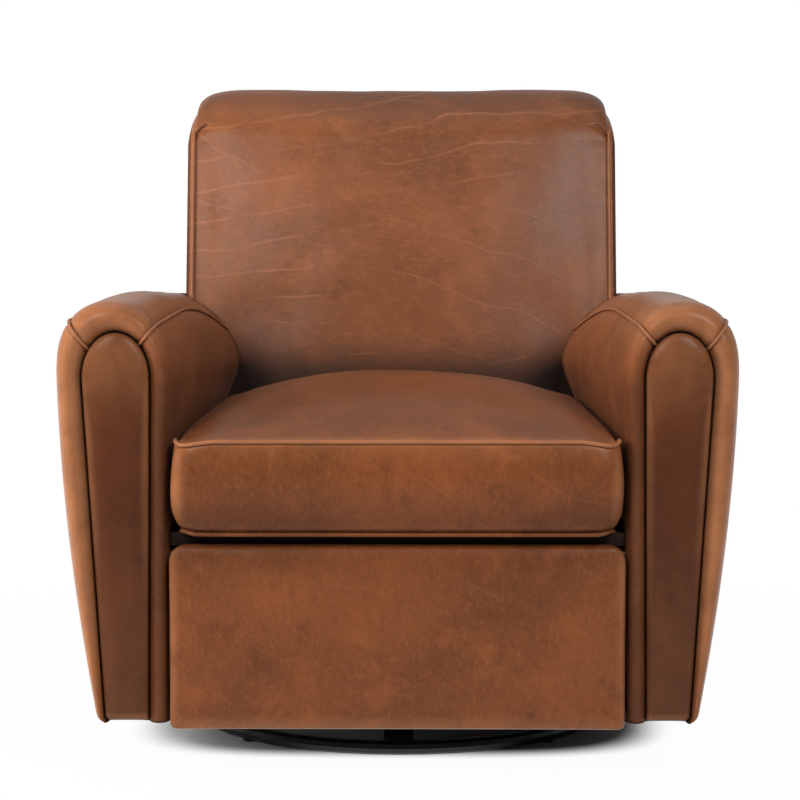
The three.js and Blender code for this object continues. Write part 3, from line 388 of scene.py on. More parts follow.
# The arms: three pieces of leather over foam on a post and a rail. A padded roll runs down both
# sides of the front and turns in to a pocket, and slim piped seams divide outer, top and inner leather.
body_low = 0.08
arm_front, arm_rear, arm_outer, arm_foot = -0.447, 0.47, 0.4372, 0.3882
arm_roll, arm_crown_roll, arm_foot_round, inner_rear_y = 0.018, 0.034, 0.014, 0.0985
outer_spring, inner_spring, arm_top = 0.53, 0.505, 0.6222
arm_side_y, arm_whole_y = arm_front + arm_roll, arm_front + arm_crown_roll
pocket_spring, pocket_top, pocket_round = 0.525, 0.5835, 0.007
back_half, arm_back_gap, face_foot_y, deck_top = 0.3242, 0.3268, 0.0735, 0.3247
face_rake, rear_rake = tan(radians(13)), tan(radians(5.9))


def share_of(value, low, high):
    return min(max((value - low) / (high - low), 0.0), 1.0)


def eased(value, low, high):
    t = share_of(value, low, high)
    return t * t * (3 - 2 * t)


def between(low, high, share):
    return low + (high - low) * share


def inner_wall(y):
    return between(0.293, 0.262, (y - arm_front) / (inner_rear_y - arm_front))


def face_y(z):
    return face_foot_y + (z - deck_top) * face_rake


def rear_y(z):
    return arm_rear + (z - 0.84) * rear_rake


wall_shares = (0.0, 0.1, 0.24, 0.38, 0.52, 0.64, 0.74, 0.82, 0.865, 0.91, 0.955)


def arch_outline(low, foot_z, foot_round, form):
    """A round-topped (x, z) outline from its foot round the outside, over the crown and down inside."""
    outer_at, inner_at, springs = form[:3]
    points = [(inner_at(low) + 0.003, low), (outer_at(foot_z) - foot_round, low)]
    for i in range(4):
        turn = i / 4 * pi / 2
        out = outer_at(foot_z) - foot_round * (1 - sin(turn))
        points.append((out, foot_z - foot_round * cos(turn)))
    for share in wall_shares:
        z = between(foot_z, springs[0], share)
        points.append((outer_at(z), z))
    points += [arch_point(i / 12 * pi / 2, form) for i in range(25)]
    inner_heights = [between(foot_z, springs[1], share) for share in reversed(wall_shares)]
    inner_heights += [between(low, foot_z, share) for share in (0.75, 0.5, 0.25, 0.08)]
    return points + [(inner_at(z), z) for z in inner_heights]


def arch_point(turn, form):
    """The (x, z) place on an arch at this turn from its outer side."""
    outer_at, inner_at, springs, crown_z, powers = form
    crown_x = (outer_at(springs[0]) + inner_at(springs[1])) / 2
    half = outer_at(springs[0]) - crown_x
    inside = turn > pi / 2
    power = 2 / powers[inside]
    level = cos(turn) if abs(turn - pi / 2) > 1e-9 else 0.0
    reach = copysign(abs(level) ** power, level)
    return crown_x + half * reach, between(springs[inside], crown_z, sin(turn) ** power)


def roll_form(y):
    """The arm's outer and inner sides and its crown at depth y."""
    wall = inner_wall(y)
    bulge = wall - between(0.004, 0.021, share_of(y, arm_front, inner_rear_y))
    crown_z = arm_top - 0.043 * share_of(y, -0.2, arm_rear) ** 1.15

    def outer_at(z):
        up = share_of(z, body_low, outer_spring)
        return between(arm_foot, arm_outer, up * (1 + 0.8 * (1 - up)))

    def inner_at(z):
        return between(wall, bulge, eased(z, inner_spring - 0.075, inner_spring))

    inner_power = between(2.15, 1.53, share_of(y, -0.3, 0.1))
    return outer_at, inner_at, (outer_spring, inner_spring), crown_z, (2.4, inner_power)


def pocket_form(inset=0.0):
    def outer_at(z):
        return between(0.3765, 0.4025, share_of(z, body_low, pocket_spring)) - inset

    def inner_at(z):
        return between(0.32, 0.315, share_of(z, body_low, pocket_spring)) + inset

    return outer_at, inner_at, (pocket_spring, pocket_spring), pocket_top - inset, (2, 2)


def roll_outline(y):
    return arch_outline(0.02, body_low + arm_foot_round, arm_foot_round, roll_form(y))


def pocket_outline():
    return arch_outline(0.05, body_low + pocket_round, pocket_round, pocket_form())


def rolled_y(turn, lift):
    """The padded front's depth, from the arm's side over it and into the pocket."""
    depth = arm_crown_roll if turn < pi / 2 else arm_roll
    return arm_front + depth - (depth + lift) * sin(turn)


def at_depth(y, outline):
    return [Vector((x, y, z)) for x, z in outline]


def arm_rings():
    whole, pocket = roll_outline(arm_whole_y), pocket_outline()
    rings = []
    for i in range(12, -1, -1):
        turn = i / 12 * pi
        y, inward = rolled_y(turn, 0.0), (1 - cos(turn)) / 2
        flat = [(between(a, b, inward), between(c, d, inward)) for (a, c), (b, d) in zip(whole, pocket)]
        rings.append(at_depth(y, flat))
    for i in range(1, 25):
        y = between(arm_whole_y, 0.475, i / 24)
        rings.append(at_depth(y, roll_outline(y)))
    return rings


def paired(first, count, hinge):
    """Faces that close a ring by rungs from side to side, starting at the edge before `hinge`."""
    faces = []
    for k in range((count - 1) // 2):
        corners = [hinge + k, hinge + k + 1, hinge - 2 - k, hinge - 1 - k]
        corners = [c % count for c in corners]
        if corners[1] == corners[2]:
            corners.pop(2)
        faces.append(tuple(first + c for c in corners))
    return faces


def skinned(name, rings, material, hinge=1):
    """Rings of equal count joined in order into one closed skin."""
    count = len(rings[0])
    corners = [tuple(p) for ring in rings for p in ring]
    faces = []
    for k in range(len(rings) - 1):
        for i in range(count):
            a, b = k * count + i, k * count + (i + 1) % count
            faces.append((a, b, b + count, a + count))
    faces += paired(0, count, hinge) + paired((len(rings) - 1) * count, count, hinge)
    mesh = bpy.data.meshes.new(name)
    mesh.from_pydata(corners, [], faces)
    mesh.validate()
    shape = bmesh.new()
    shape.from_mesh(mesh)
    bmesh.ops.recalc_face_normals(shape, faces=shape.faces)
    shape.to_mesh(mesh)
    shape.free()
    mesh.materials.append(material)
    piece = in_scene(name, mesh)
    bpy.ops.object.shade_smooth()
    return piece


def applied(piece, kind, **settings):
    """Adds one modifier with these settings and applies it."""
    only(piece)
    modifier = piece.modifiers.new(kind.lower(), kind)
    for key, value in settings.items():
        setattr(modifier, key, value)
    bpy.ops.object.modifier_apply(modifier=modifier.name)
    return piece


def refined(piece, levels):
    return applied(piece, "SUBSURF", levels=levels, render_levels=levels)


def without(piece, block):
    applied(piece, "BOOLEAN", operation="DIFFERENCE", object=block, solver="EXACT")
    bpy.data.objects.remove(block)
    return piece


def block_of(name, side, half_width):
    """A block across the chair with this (y, z) side."""
    rings = [[Vector((x, y, z)) for y, z in side] for x in (-half_width, half_width)]
    return skinned(name, rings, arm_leather)


def raised(piece, amount_at):
    """Moves each point out of the piece, or in, by the amount that its place asks for."""
    normals = [v.normal.copy() for v in piece.data.vertices]
    for v, normal in zip(piece.data.vertices, normals):
        v.co += normal * amount_at(v.co)
    piece.data.update()


def uneven(amount, size, seed, keep):
    """Foam and wadding under leather are never quite even."""
    shift = Vector((seed, seed * 1.7, seed * 0.3))

    def amount_at(p):
        lumps = noise.noise(p / size + shift) + 0.35 * noise.noise(p / (size * 0.35) + shift)
        return amount * keep(p) * lumps

    return amount_at


def painted(piece, **shares):
    """Shares from 0 to 1 at each point, which the leather reads as wear with painted light, and as painted
    shade with dirt.
    """
    for name, share_at in shares.items():
        attribute = piece.data.attributes.new(name, "FLOAT", "POINT")
        for i, v in enumerate(piece.data.vertices):
            attribute.data[i].value = min(max(share_at(v.co), 0.0), 1.0)


def nearest(points):
    """A function that gives the distance from a place to the nearest of these points."""
    tree = KDTree(len(points))
    for i, p in enumerate(points):
        tree.insert(p, i)
    tree.balance()
    return lambda p: tree.find(p)[2]


def closer(points, step):
    """The same route with points no further apart than step."""
    made = [points[0]]
    for p in points[1:]:
        start = made[-1]
        count = max(int((p - start).length / step), 1)
        made += [start.lerp(p, (k + 1) / count) for k in range(count)]
    return made


def mirrored(piece, name):
    """The left twin of a right-hand piece, with its own mesh and its faces outward."""
    twin = in_scene(name, piece.data.copy())
    for v in twin.data.vertices:
        v.co.x = -v.co.x
    twin.data.flip_normals()
    return twin


def fitted(piece, *replaced):
    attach(piece, "chair")
    if replaced:
        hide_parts(*replaced)


seam_at_pocket = {"outer": 38.0, "inner": 134.0}
seam_end_y = {"outer": 0.4385, "inner": 0.135}


def seam_turn(side, y):
    """Where the piped seam lies on the roll, in degrees from the outer side."""
    if side == "outer":
        return 42.5
    falling = 7.2 * share_of(y, arm_side_y, -0.12)
    return 134.4 - falling + 20.0 * share_of(y, -0.13, 0.12) ** 3.5


def on_roll(form, degrees):
    return Vector(arch_point(radians(degrees), form))


def seam_line(side, lift):
    """The piped seam's route: out of the front pocket, round the padded roll, and back along the arm."""
    route = []
    whole = on_roll(roll_form(arm_whole_y), seam_turn(side, arm_whole_y))
    pocket = on_roll(pocket_form(), seam_at_pocket[side])
    way = (whole - pocket).normalized()
    for i in range(15, 0, -1):
        turn = i / 16 * pi
        flat = whole.lerp(pocket, (1 - cos(turn)) / 2) + way * lift * cos(turn)
        route.append(Vector((flat.x, rolled_y(turn, lift), flat.y)))
    for i in range(61):
        y = between(arm_whole_y, seam_end_y[side], i / 60)
        here, past = (on_roll(roll_form(y), seam_turn(side, y) + step) for step in (0, 0.5))
        along = (past - here).normalized()
        route.append(Vector((here.x + along.y * lift, y, here.y - along.x * lift)))
    return route


right_arm = skinned("upholstered_arm_right", arm_rings(), arm_leather)
refined(right_arm, 2)
seam_distance = nearest([p for side in seam_end_y for p in closer(seam_line(side, 0.0), 0.002)])
pocket_line = at_depth(0, pocket_outline())
pocket_distance = nearest(closer(pocket_line + pocket_line[:1], 0.002))


def arm_wrinkles(p):
    """Soft upright wrinkles on the inner wall, where the seat's edge rubs and presses the leather."""
    inner = eased(p.x, 0.33, 0.29) * eased(p.y, -0.36, -0.2) * eased(p.z, 0.56, 0.5)
    return 0.0022 * inner * noise.noise(Vector((3.0, p.y * 46, p.z * 5)))


arm_uneven = uneven(0.002, 0.13, 2.0, lambda p: eased(p.y, -0.42, -0.34) * eased(p.z, 0.08, 0.14))
raised(right_arm, lambda p: arm_uneven(p) + arm_wrinkles(p))
raised(right_arm, lambda p: -0.002 * (1 - eased(seam_distance(p), 0.0, 0.01)))
cut_low, cut_high, cut_far = -0.02, 0.97, 0.62


def behind(plane_y):
    """The (y, z) side of a block that begins at a raked plane and ends well behind the chair."""
    far = [(cut_far, cut_low), (cut_far, cut_high)]
    return [(plane_y(cut_low), cut_low), *far, (plane_y(cut_high), cut_high)]


below = [(-cut_far, cut_low), (cut_far, cut_low), (cut_far, body_low), (-cut_far, body_low)]
without(right_arm, block_of("back_room", behind(lambda z: face_y(z) - 0.0003), arm_back_gap))
without(right_arm, block_of("rear_room", behind(rear_y), cut_far))
without(right_arm, block_of("floor_room", below, cut_far))
only(right_arm)
bpy.ops.object.shade_smooth_by_angle(angle=radians(50))


# Painted shade: the pocket's groove and the bolster turning into it, the creases beside the piped seams, a
# dark strip at the foot, the inner roll and lower inner side beside the cushion, and the crevice at the
# back.
def arm_soiled(p):
    edge = pocket_distance(Vector((p.x, 0, p.z)))
    groove = 0.8 * eased(edge, 0.003, 0.0005)
    shade = 0.34 * eased(edge, 0.014, 0.002) * eased(p.x, 0.385, 0.4)
    groove = max(groove, shade) * (1 - eased(p.y, arm_side_y + 0.001, arm_side_y + 0.004))
    seam = 0.7 * eased(seam_distance(p), 0.0042, 0.0016)
    foot = 0.95 * eased(p.z, 0.0835, 0.0802)
    inner_roll = 0.46 * eased(p.x, 0.335, 0.3) * eased(p.y, -0.3, -0.42) * eased(p.z, 0.56, 0.5)
    low_inner = 0.3 * eased(p.x, 0.33, 0.3) * eased(p.z, 0.52, 0.44) * eased(p.y, -0.46, -0.38)
    crevice = 0.7 * eased(face_y(p.z) - p.y, 0.035, 0.0) if p.x < 0.34 else 0.0
    return max(groove, seam, foot, inner_roll, low_inner, crevice)


def arm_rubbed(p):
    crown = eased(p.z, 0.545, 0.605) * (0.26 + 0.2 * eased(p.y, -0.28, -0.43))
    outer_roll = 0.62 * eased(p.x, 0.372, 0.4) * eased(p.y, -0.36, -0.44)
    outer_side = 0.28 * eased(p.x, 0.4, 0.43)
    return max(crown, outer_roll, outer_side)


painted(right_arm, soiled=arm_soiled, rubbed=arm_rubbed)
left_arm = mirrored(right_arm, "upholstered_arm_left")
for piece, side in ((right_arm, "right"), (left_arm, "left")):
    fitted(piece, f"arm_{side}")



def welted(name, route, radius, worn, darkened=0.0, material=welt_leather, facets=8, closed=False):
    """A seam's piping: a strip of leather sewn round a cord."""
    welt = tube_along(name, route, radius, facets, closed)
    welt.data.materials.append(material)
    painted(welt, rubbed=lambda p: worn, soiled=lambda p: darkened)
    return welt


for side in seam_end_y:
    welt = welted(f"arm_welt_{side}_right", closer(seam_line(side, 0.0002), 0.004), 0.0019, 0.4)
    fitted(mirrored(welt, f"arm_welt_{side}_left"))
    fitted(welt)


# The arm front panels: tombstone pads of leather over foam on a board, pressed into the pocket of
# each arm's front. The rim is rubbed pale and the face below is mottled and darker. The lowest part
# of the face is paler with painted light, and the sides inside the pocket are dark with painted shade.
pad_rear, pad_front, pad_low = arm_side_y - 0.0003, -0.45, 0.0825


def pad_ring(inset, depth_share):
    y = between(pad_rear, pad_front, depth_share)
    low, foot_round = pad_low + inset, max(pocket_round - 0.4 * inset, 0.003)
    return at_depth(y, arch_outline(low, low + foot_round, foot_round, pocket_form(0.0005 + inset)))


pad_steps = ((0, 0), (0, 0.3), (0.0001, 0.5), (0.0007, 0.63), (0.0022, 0.75), (0.005, 0.85), (0.009, 0.92))
pad_steps += ((0.014, 0.97), (0.02, 0.993), (0.026, 1.0))
right_pad = skinned("arm_pad_right", [pad_ring(*step) for step in pad_steps], pad_leather)
refined(right_pad, 1)


def puffed(piece, held, pressure, most):
    """The stuffed cover swells under pressure, held at its seams, by less than `most`."""
    start = [v.co.copy() for v in piece.data.vertices]
    group = piece.vertex_groups.new(name="held")
    for i, v in enumerate(piece.data.vertices):
        group.add([i], held(v.co), "REPLACE")
    cloth = piece.modifiers.new("cloth", "CLOTH")
    settings = cloth.settings
    settings.use_pressure = True
    settings.uniform_pressure_force = pressure
    settings.effector_weights.gravity = 0.0
    settings.quality, settings.mass = 6, 0.4
    settings.tension_stiffness = settings.compression_stiffness = 25.0
    settings.shear_stiffness, settings.bending_stiffness = 12.0, 2.0
    settings.vertex_group_mass = "held"
    cloth.point_cache.frame_end = 20
    for step in range(1, 21):
        bpy.context.scene.frame_set(step)
    swollen = piece.evaluated_get(bpy.context.evaluated_depsgraph_get())
    moved = [v.co.copy() for v in swollen.data.vertices]
    piece.modifiers.remove(cloth)
    for v, before, after in zip(piece.data.vertices, start, moved):
        way = after - before
        if way.length > 1e-9:
            v.co = before + way.normalized() * most * tanh(way.length / most)
    bpy.context.scene.frame_set(1)
    piece.vertex_groups.clear()


puffed(right_pad, lambda p: float(p.y > arm_front + 0.004), 1.6, 0.0015)
refined(right_pad, 1)
raised(right_pad, uneven(0.0008, 0.07, 5.0, lambda p: eased(p.y, pad_front + 0.006, pad_front)))


# Rubbed pale at the rim, the top and the foot; below the middle the face is paler with painted light.
def pad_rubbed(p):
    edge = pocket_distance(Vector((p.x, 0, p.z)))
    rim = eased(edge, 0.014, 0.002) * (0.12 + 0.22 * eased(p.z, 0.2, 0.45))
    foot = 0.35 * eased(p.z, 0.098, 0.088)
    return max(rim, foot, 0.3 * eased(p.z, 0.44, 0.57), 0.1 * eased(p.z, 0.36, 0.16))


# Painted shade on the pad's sides inside the pocket, and a slight darkening towards the bottom.
def pad_soiled(p):
    return max(eased(p.y, pad_front + 0.006, pad_front + 0.012), 0.04 * eased(p.z, 0.5, 0.25))


painted(right_pad, rubbed=pad_rubbed, soiled=pad_soiled)
left_pad = mirrored(right_pad, "arm_pad_left")
for piece, side in ((right_pad, "right"), (left_pad, "left")):
    fitted(piece, f"arm_front_panel_{side}")


# The back: one leather panel over sprung foam, from the seat's crevice up its raked face and over a
# thick rolled top. A piped border runs up each side, under a pleat at the upper corner.
seam_x, border_x = 0.3125, 0.3135
back_top, shoulder_z, rear_edge_z, ledge_z, back_low = 0.909, 0.82, 0.84, 0.812, 0.325
pleat_low, pleat_high = 0.8405, 0.8556


def back_crown(x, z):
    """How far the face stands out: fuller below, where it is free of the borders' pull."""
    upper = max(1 - abs(x / seam_x) ** 2.4, 0.0)
    lower = max(1 - (x / 0.241) ** 2, 0.0)
    across = between(lower, upper, eased(z, 0.54, 0.68))
    return 0.024 * across * sin(share_of(z, back_low, back_top) * pi) ** 0.9


def back_peak(x):
    """The top's height: sagged a little in the middle, with a round end and the border below it."""
    x = abs(x)
    if x > seam_x:
        return 0.8735 - 0.04 * (1 - sqrt(1 - share_of(x, seam_x, back_half) ** 2))
    dip = 0.0046 * eased(x, 0.25, 0.02)
    return back_top - 0.0006 - dip - 0.026 * (1 - sqrt(1 - share_of(x, 0.2605, seam_x) ** 2))


def back_ring(x):
    """The back's section at x, from the foot of the face over the roll to the rear ledge and down."""
    drawn = 0.011 * (1 - sqrt(1 - share_of(abs(x), 0.3155, back_half) ** 2))
    top = back_peak(x)
    points = []
    for i in range(15):
        z = between(back_low + 0.012, shoulder_z, i / 14)
        points.append((face_y(z) - back_crown(x, z) + drawn, z))
    peak_y, shoulder_y = face_y(shoulder_z) + 0.1, points[-1][0]
    for i in range(1, 17):
        turn = i / 16 * pi / 2
        y = between(peak_y, shoulder_y, cos(turn))
        points.append((y, between(shoulder_z, top, sin(turn))))
    rear_z = min(rear_edge_z, top - 0.01)
    for i in range(1, 9):
        turn = i / 8 * pi / 2
        y = between(peak_y, rear_y(rear_z) - drawn, sin(turn))
        points.append((y, between(rear_z, top, cos(turn))))
    points.append((rear_y(ledge_z + 0.004) - drawn, ledge_z + 0.004))
    points.append((rear_y(ledge_z) - drawn - 0.004, ledge_z))
    points += [(face_y(z) + 0.1693, z) for z in (ledge_z, 0.65, 0.5, back_low)]
    points.append((face_y(back_low) + 0.012, back_low))
    return [Vector((x, y, z)) for y, z in points]


back_stations = [0.03 * i for i in range(9)]
back_stations += [0.254, 0.264, 0.275, 0.285, 0.292, 0.298, 0.303, 0.307, 0.3098, 0.3116, seam_x]
back_stations += [border_x, 0.3148, 0.3168, 0.3188, 0.3205, 0.322, 0.3231, 0.3238, back_half]
back_stations = [-x for x in reversed(back_stations[1:])] + back_stations
back = skinned("inside_back", [back_ring(x) for x in back_stations], back_leather, hinge=0)


def back_held(p):
    rear = p.y > face_y(p.z) + 0.1 and p.z < 0.86
    return float(rear or abs(p.x) > 0.29 or p.z < 0.36)


puffed(back, back_held, 1.4, 0.004)
refined(back, 2)


def pleat_gap(p):
    """How far a place lies below the pleat at its upper corner, and how much the pleat shows there."""
    x = abs(p.x)
    line = pleat_high - (pleat_high - pleat_low) * share_of(x, 0.291, 0.3122) ** 2.2
    shows = eased(x, 0.282, 0.3) * eased(x, 0.3145, 0.313) * (p.y < face_y(p.z) + 0.06)
    return line - p.z, shows


def back_folds(p):
    gap, shows = pleat_gap(p)
    tuck = -0.0038 * eased(gap, -0.0012, 0.002) * (1 - share_of(gap, 0.002, 0.016)) ** 1.5
    tuck += 0.0008 * exp(min(gap, 0.0) / 0.006) * eased(gap, 0.002, -0.0012)
    seam = max(1 - abs(abs(p.x) - 0.311) / 0.0024, 0.0) * eased(p.z, pleat_low + 0.004, pleat_low - 0.004)
    return tuck * shows - 0.0009 * seam * (p.y < face_y(p.z) + 0.05)


back_uneven = uneven(0.0022, 0.15, 9.0, lambda p: eased(abs(p.x), 0.3, 0.27) * eased(p.z, 0.34, 0.4))
raised(back, lambda p: back_folds(p) + back_uneven(p))


def back_rubbed(p):
    x = abs(p.x)
    border = 0.3 * eased(x, 0.3128, 0.3145) * eased(x, 0.32, 0.3175)
    border *= eased(p.z, 0.885, 0.86)
    low_rim = 0.2 * eased(x, 0.2, 0.29) * eased(p.z, 0.7, 0.62) * eased(x, 0.306, 0.3)
    return max(border, low_rim)


# Painted shade under the pleat, beside the border's seam, on the border's side turned from the light, along
# the crest, in the corner notch and low on the face by the seat.
def back_soiled(p):
    x = abs(p.x)
    gap, shows = pleat_gap(p)
    pleat = shows * eased(gap, -0.0006, 0.0004) * eased(gap, 0.005, 0.0012) * eased(x, 0.286, 0.306)
    seam = 0.15 * max(1 - abs(x - 0.3108) / 0.002, 0.0) * (p.z < pleat_low + 0.002)
    seam *= p.y < face_y(p.z) + 0.05
    side = 0.62 * eased(x, 0.3178, 0.3205)
    crest = 0.26 * eased(p.z, 0.85, 0.9)
    notch = 0.5 * max(1 - abs(x - 0.313) / 0.002, 0.0) * eased(p.z, 0.862, 0.872) * (p.z < 0.882)
    foot = 0.85 * eased(p.z, 0.55, 0.47) + 0.3 * eased(p.z, 0.66, 0.5) * eased(x, 0.17, 0.24)
    return max(pleat, seam, side, crest, notch, foot)


painted(back, rubbed=back_rubbed, soiled=back_soiled)
fitted(back, "back_cushion")

for name, side in (("right", 1), ("left", -1)):
    heights = [between(0.5, pleat_low, i / 40) for i in range(41)]
    route = [Vector((side * 0.314, face_y(z) - 0.0006, z)) for z in heights]
    route += [route[-1] + Vector((side * 0.0003 * k, 0.0012 * k * k, 0.0014 * k)) for k in (1, 2, 3)]
    fitted(welted(f"back_welt_{name}", route, 0.002, 0.25))


# The side bands of the back: leather over card, closing each side behind the piped border as far
# as the outside back, slightly crowned between its two upright seams.
def band_rings():
    rings = []
    for i in range(15):
        along = i / 14
        out = 0.002 * abs(2 * along - 1) ** 5
        column = []
        for k in range(25):
            z = between(0.092, 0.8113, k / 24)
            column.append((between(face_y(z) + 0.1697, rear_y(z) - 0.0204, along), z))
        ring = [Vector((back_half + 0.0015 - out, y, z)) for y, z in column]
        rings.append(ring + [Vector((0.3158, y, z)) for y, z in reversed(column)])
    return rings


right_band = skinned("back_band_right", band_rings(), arm_leather)
raised(right_band, uneven(0.0007, 0.12, 7.0, lambda p: eased(p.x, 0.318, 0.323)))
# The band is darkened all over with painted shade, as its sides turn from the light.
painted(right_band, rubbed=lambda p: 0.05, soiled=lambda p: 0.45)
left_band = mirrored(right_band, "back_band_left")
for piece, side in ((right_band, "right"), (left_band, "left")):
    only(piece)
    bpy.ops.object.shade_smooth_by_angle(angle=radians(50))
    fitted(piece, f"back_side_{side}")


# The outside back: one flat panel of leather over board, tacked blind under its turned top edge
# and down its sides.
outside_top, outside_thick = 0.8114, 0.0196
outside_edges = (((-1, 0), (2, 0), 12), ((1, 0), (0, 1), 14), ((1, 1), (-2, 0), 12), ((-1, 1), (0, -1), 14))


def outside_ring(depth, inset):
    ring = []
    for start, way, steps in outside_edges:
        for i in range(steps):
            u, v = start[0] + way[0] * i / steps, start[1] + way[1] * i / steps
            z = between(body_low + inset, outside_top - inset, v)
            y = rear_y(z) - 0.0198 + outside_thick * depth
            ring.append(Vector((u * (back_half - 0.0003 - inset), y, z)))
    return ring


outside_steps = ((0, 0), (0.5, 0), (0.8, 0.0006), (0.95, 0.0022), (1, 0.006), (1, 0.02), (1, 0.06))
outside_rings = [outside_ring(*step) for step in outside_steps]
outside = skinned("outside_back_cover", outside_rings, arm_leather, hinge=0)
refined(outside, 2)


def outside_face(p):
    return eased(p.y, rear_y(p.z) - 0.004, rear_y(p.z))


def outside_rubbed(p):
    return 0.25 * eased(abs(p.x), 0.3, 0.325)


raised(outside, uneven(0.0012, 0.16, 12.0, outside_face))
painted(outside, rubbed=outside_rubbed, soiled=lambda p: 0.4 * eased(p.z, 0.095, 0.08))
fitted(outside, "outside_back")


# The front panel: leather over padding on a board, screwed to the front rail. It is full at the
# top, with round upper corners, and its edges are rubbed. Its foot is paler with painted light, and
# its upper part under the cushion and its sides behind the face are dark with painted shade.
front_y, front_rear, front_half = -0.456, -0.4283, 0.2924
front_low, front_high = 0.0712, 0.312


def rounded_ring(half_u, half_v, radii, steps):
    """A rectangle with round corners, from its right side counterclockwise. Two radii: upper, lower."""
    corners = ((1, 1), (-1, 1), (-1, -1), (1, -1))
    centres = []
    for su, sv in corners:
        radius = radii[sv < 0]
        centres.append((Vector((su * (half_u - radius), sv * (half_v - radius))), radius))
    ring = []
    for k, (centre, radius) in enumerate(centres):
        for i in range(7):
            turn = (k + i / 6) * pi / 2
            ring.append(centre + Vector((cos(turn), sin(turn))) * radius)
        following, next_radius = centres[(k + 1) % 4]
        turn = (k + 1) * pi / 2
        target, last = following + Vector((cos(turn), sin(turn))) * next_radius, ring[-1]
        ring += [last.lerp(target, i / steps[k % 2]) for i in range(1, steps[k % 2])]
    return ring


def front_ring(inset, depth_share):
    radii = max(0.023 - inset, 0.008), max(0.009 - inset, 0.003)
    y, middle = between(front_rear, front_y, depth_share), (front_high + front_low) / 2
    half_v = (front_high - front_low) / 2 - inset
    ring = rounded_ring(front_half - inset, half_v, radii, (24, 10))
    return [Vector((p.x, y, p.y + middle)) for p in ring]


front_steps = ((0, 0), (0, 0.45), (0.0003, 0.64), (0.0014, 0.78), (0.0038, 0.87), (0.0085, 0.93))
front_steps += ((0.016, 0.962), (0.03, 0.984), (0.052, 0.995), (0.078, 1.0), (0.104, 1.0))
front = skinned("front_pad", [front_ring(*step) for step in front_steps], seat_leather, hinge=-4)
puffed(front, lambda p: float(p.y > front_y + 0.014), 1.2, 0.0015)
refined(front, 2)
raised(front, uneven(0.0012, 0.1, 15.0, lambda p: eased(p.y, front_y + 0.01, front_y + 0.002)))


# Rubbed at the sides; the paler foot is painted light.
def front_rubbed(p):
    sides_worn = 0.34 * eased(abs(p.x), 0.276, 0.29)
    foot = 0.44 * eased(p.z, 0.096, 0.073)
    return max(sides_worn, foot) * eased(p.y, -0.436, -0.446)


# Painted shade on the sides behind the face and on the upper part under the cushion.
def front_soiled(p):
    return max(0.9 * eased(p.y, -0.444, -0.432), 0.15 * eased(p.z, 0.23, 0.305))


painted(front, rubbed=front_rubbed, soiled=front_soiled)
fitted(front, "front_panel")


# The seat cushion: a loose box cushion of leather round a foam and feather core. Piping joins the
# crowned top and the flat underside to the band, whose front corners are drawn in.
seat_low, seat_front, front_seam, rear_seam = 0.325, -0.47, 0.446, 0.455
seat_bulge, seat_corner, seat_dome = 0.006, 0.026, 0.056
side_drop, low_seam_share = 0.017, 0.04


def seat_half(y):
    return inner_wall(max(y, arm_front)) - 0.004


def seat_rear(z):
    return face_y(z) - back_crown(0, z) - 0.001


def corner_pull(x, y):
    """The top seam is pulled down beside each front corner, and its tip stands up again."""
    x = abs(x)
    pull = 0.005 * eased(x, 0.238, 0.272) * (1 - 0.55 * eased(x, 0.277, 0.2845))
    return pull * eased(y, seat_front + 0.05, seat_front + 0.012)


def beside_arm(y):
    """0 at the front seam, 1 where the top panel swells over its seam against an arm or the back."""
    return eased(y, seat_front + 0.03, seat_front + 0.085)


def seat_ring(out, up, dome=0.0):
    """One level of the skin: the outline moved out by `out`, `up` of the way between the seams."""
    half_u = seat_half(arm_front) - seat_bulge
    rear = min(seat_rear(between(seat_low, rear_seam, up)), seat_rear(rear_seam))
    half_v = (rear - seat_front) / 2 - seat_bulge
    radius = max(seat_corner + min(out, 0.0), seat_corner / 4)
    placed = []
    for p in rounded_ring(half_u + out, half_v + out, (radius, radius), (22, 20)):
        y = (rear + seat_front) / 2 + p.y
        taper = (seat_half(y) - seat_bulge) / half_u
        across = max(1 - min(abs(p.x) / half_u, 1.0) ** 2.4, 0.0)
        along = max(1 - min(abs(p.y) / half_v, 1.0) ** 2.4, 0.0)
        edge = between(seat_low, between(front_seam, rear_seam, share_of(p.y, -half_v, half_v)), up)
        pull = corner_pull(p.x, y) * eased(up, 0.75, 1.0) * (1 - share_of(-out, 0.0, 0.03))
        risen = sin(share_of(-out, 0.0, 0.014) * pi / 2) if dome else 0.0
        pull += side_drop * beside_arm(y) * (1 - risen) * eased(up, 0.5, 1.0)
        swell = 0.009 * dome * beside_arm(y) * sin(share_of(-out, 0.0, 0.024) * pi)
        behind_front = eased(y, seat_front, seat_front + 0.06)
        corner = eased(abs(p.x), half_u - 0.032, half_u) * (1 - behind_front)
        lifted = 0.0055 * corner * (1 - share_of(up, 0.0, 0.3)) ** 2
        x = p.x * (1 - 0.018 * corner * (1 - share_of(up, 0.0, 0.22))) * taper + copysign(swell, p.x)
        placed.append(Vector((x, y, edge + lifted - pull + dome * seat_dome * across * along)))
    return placed


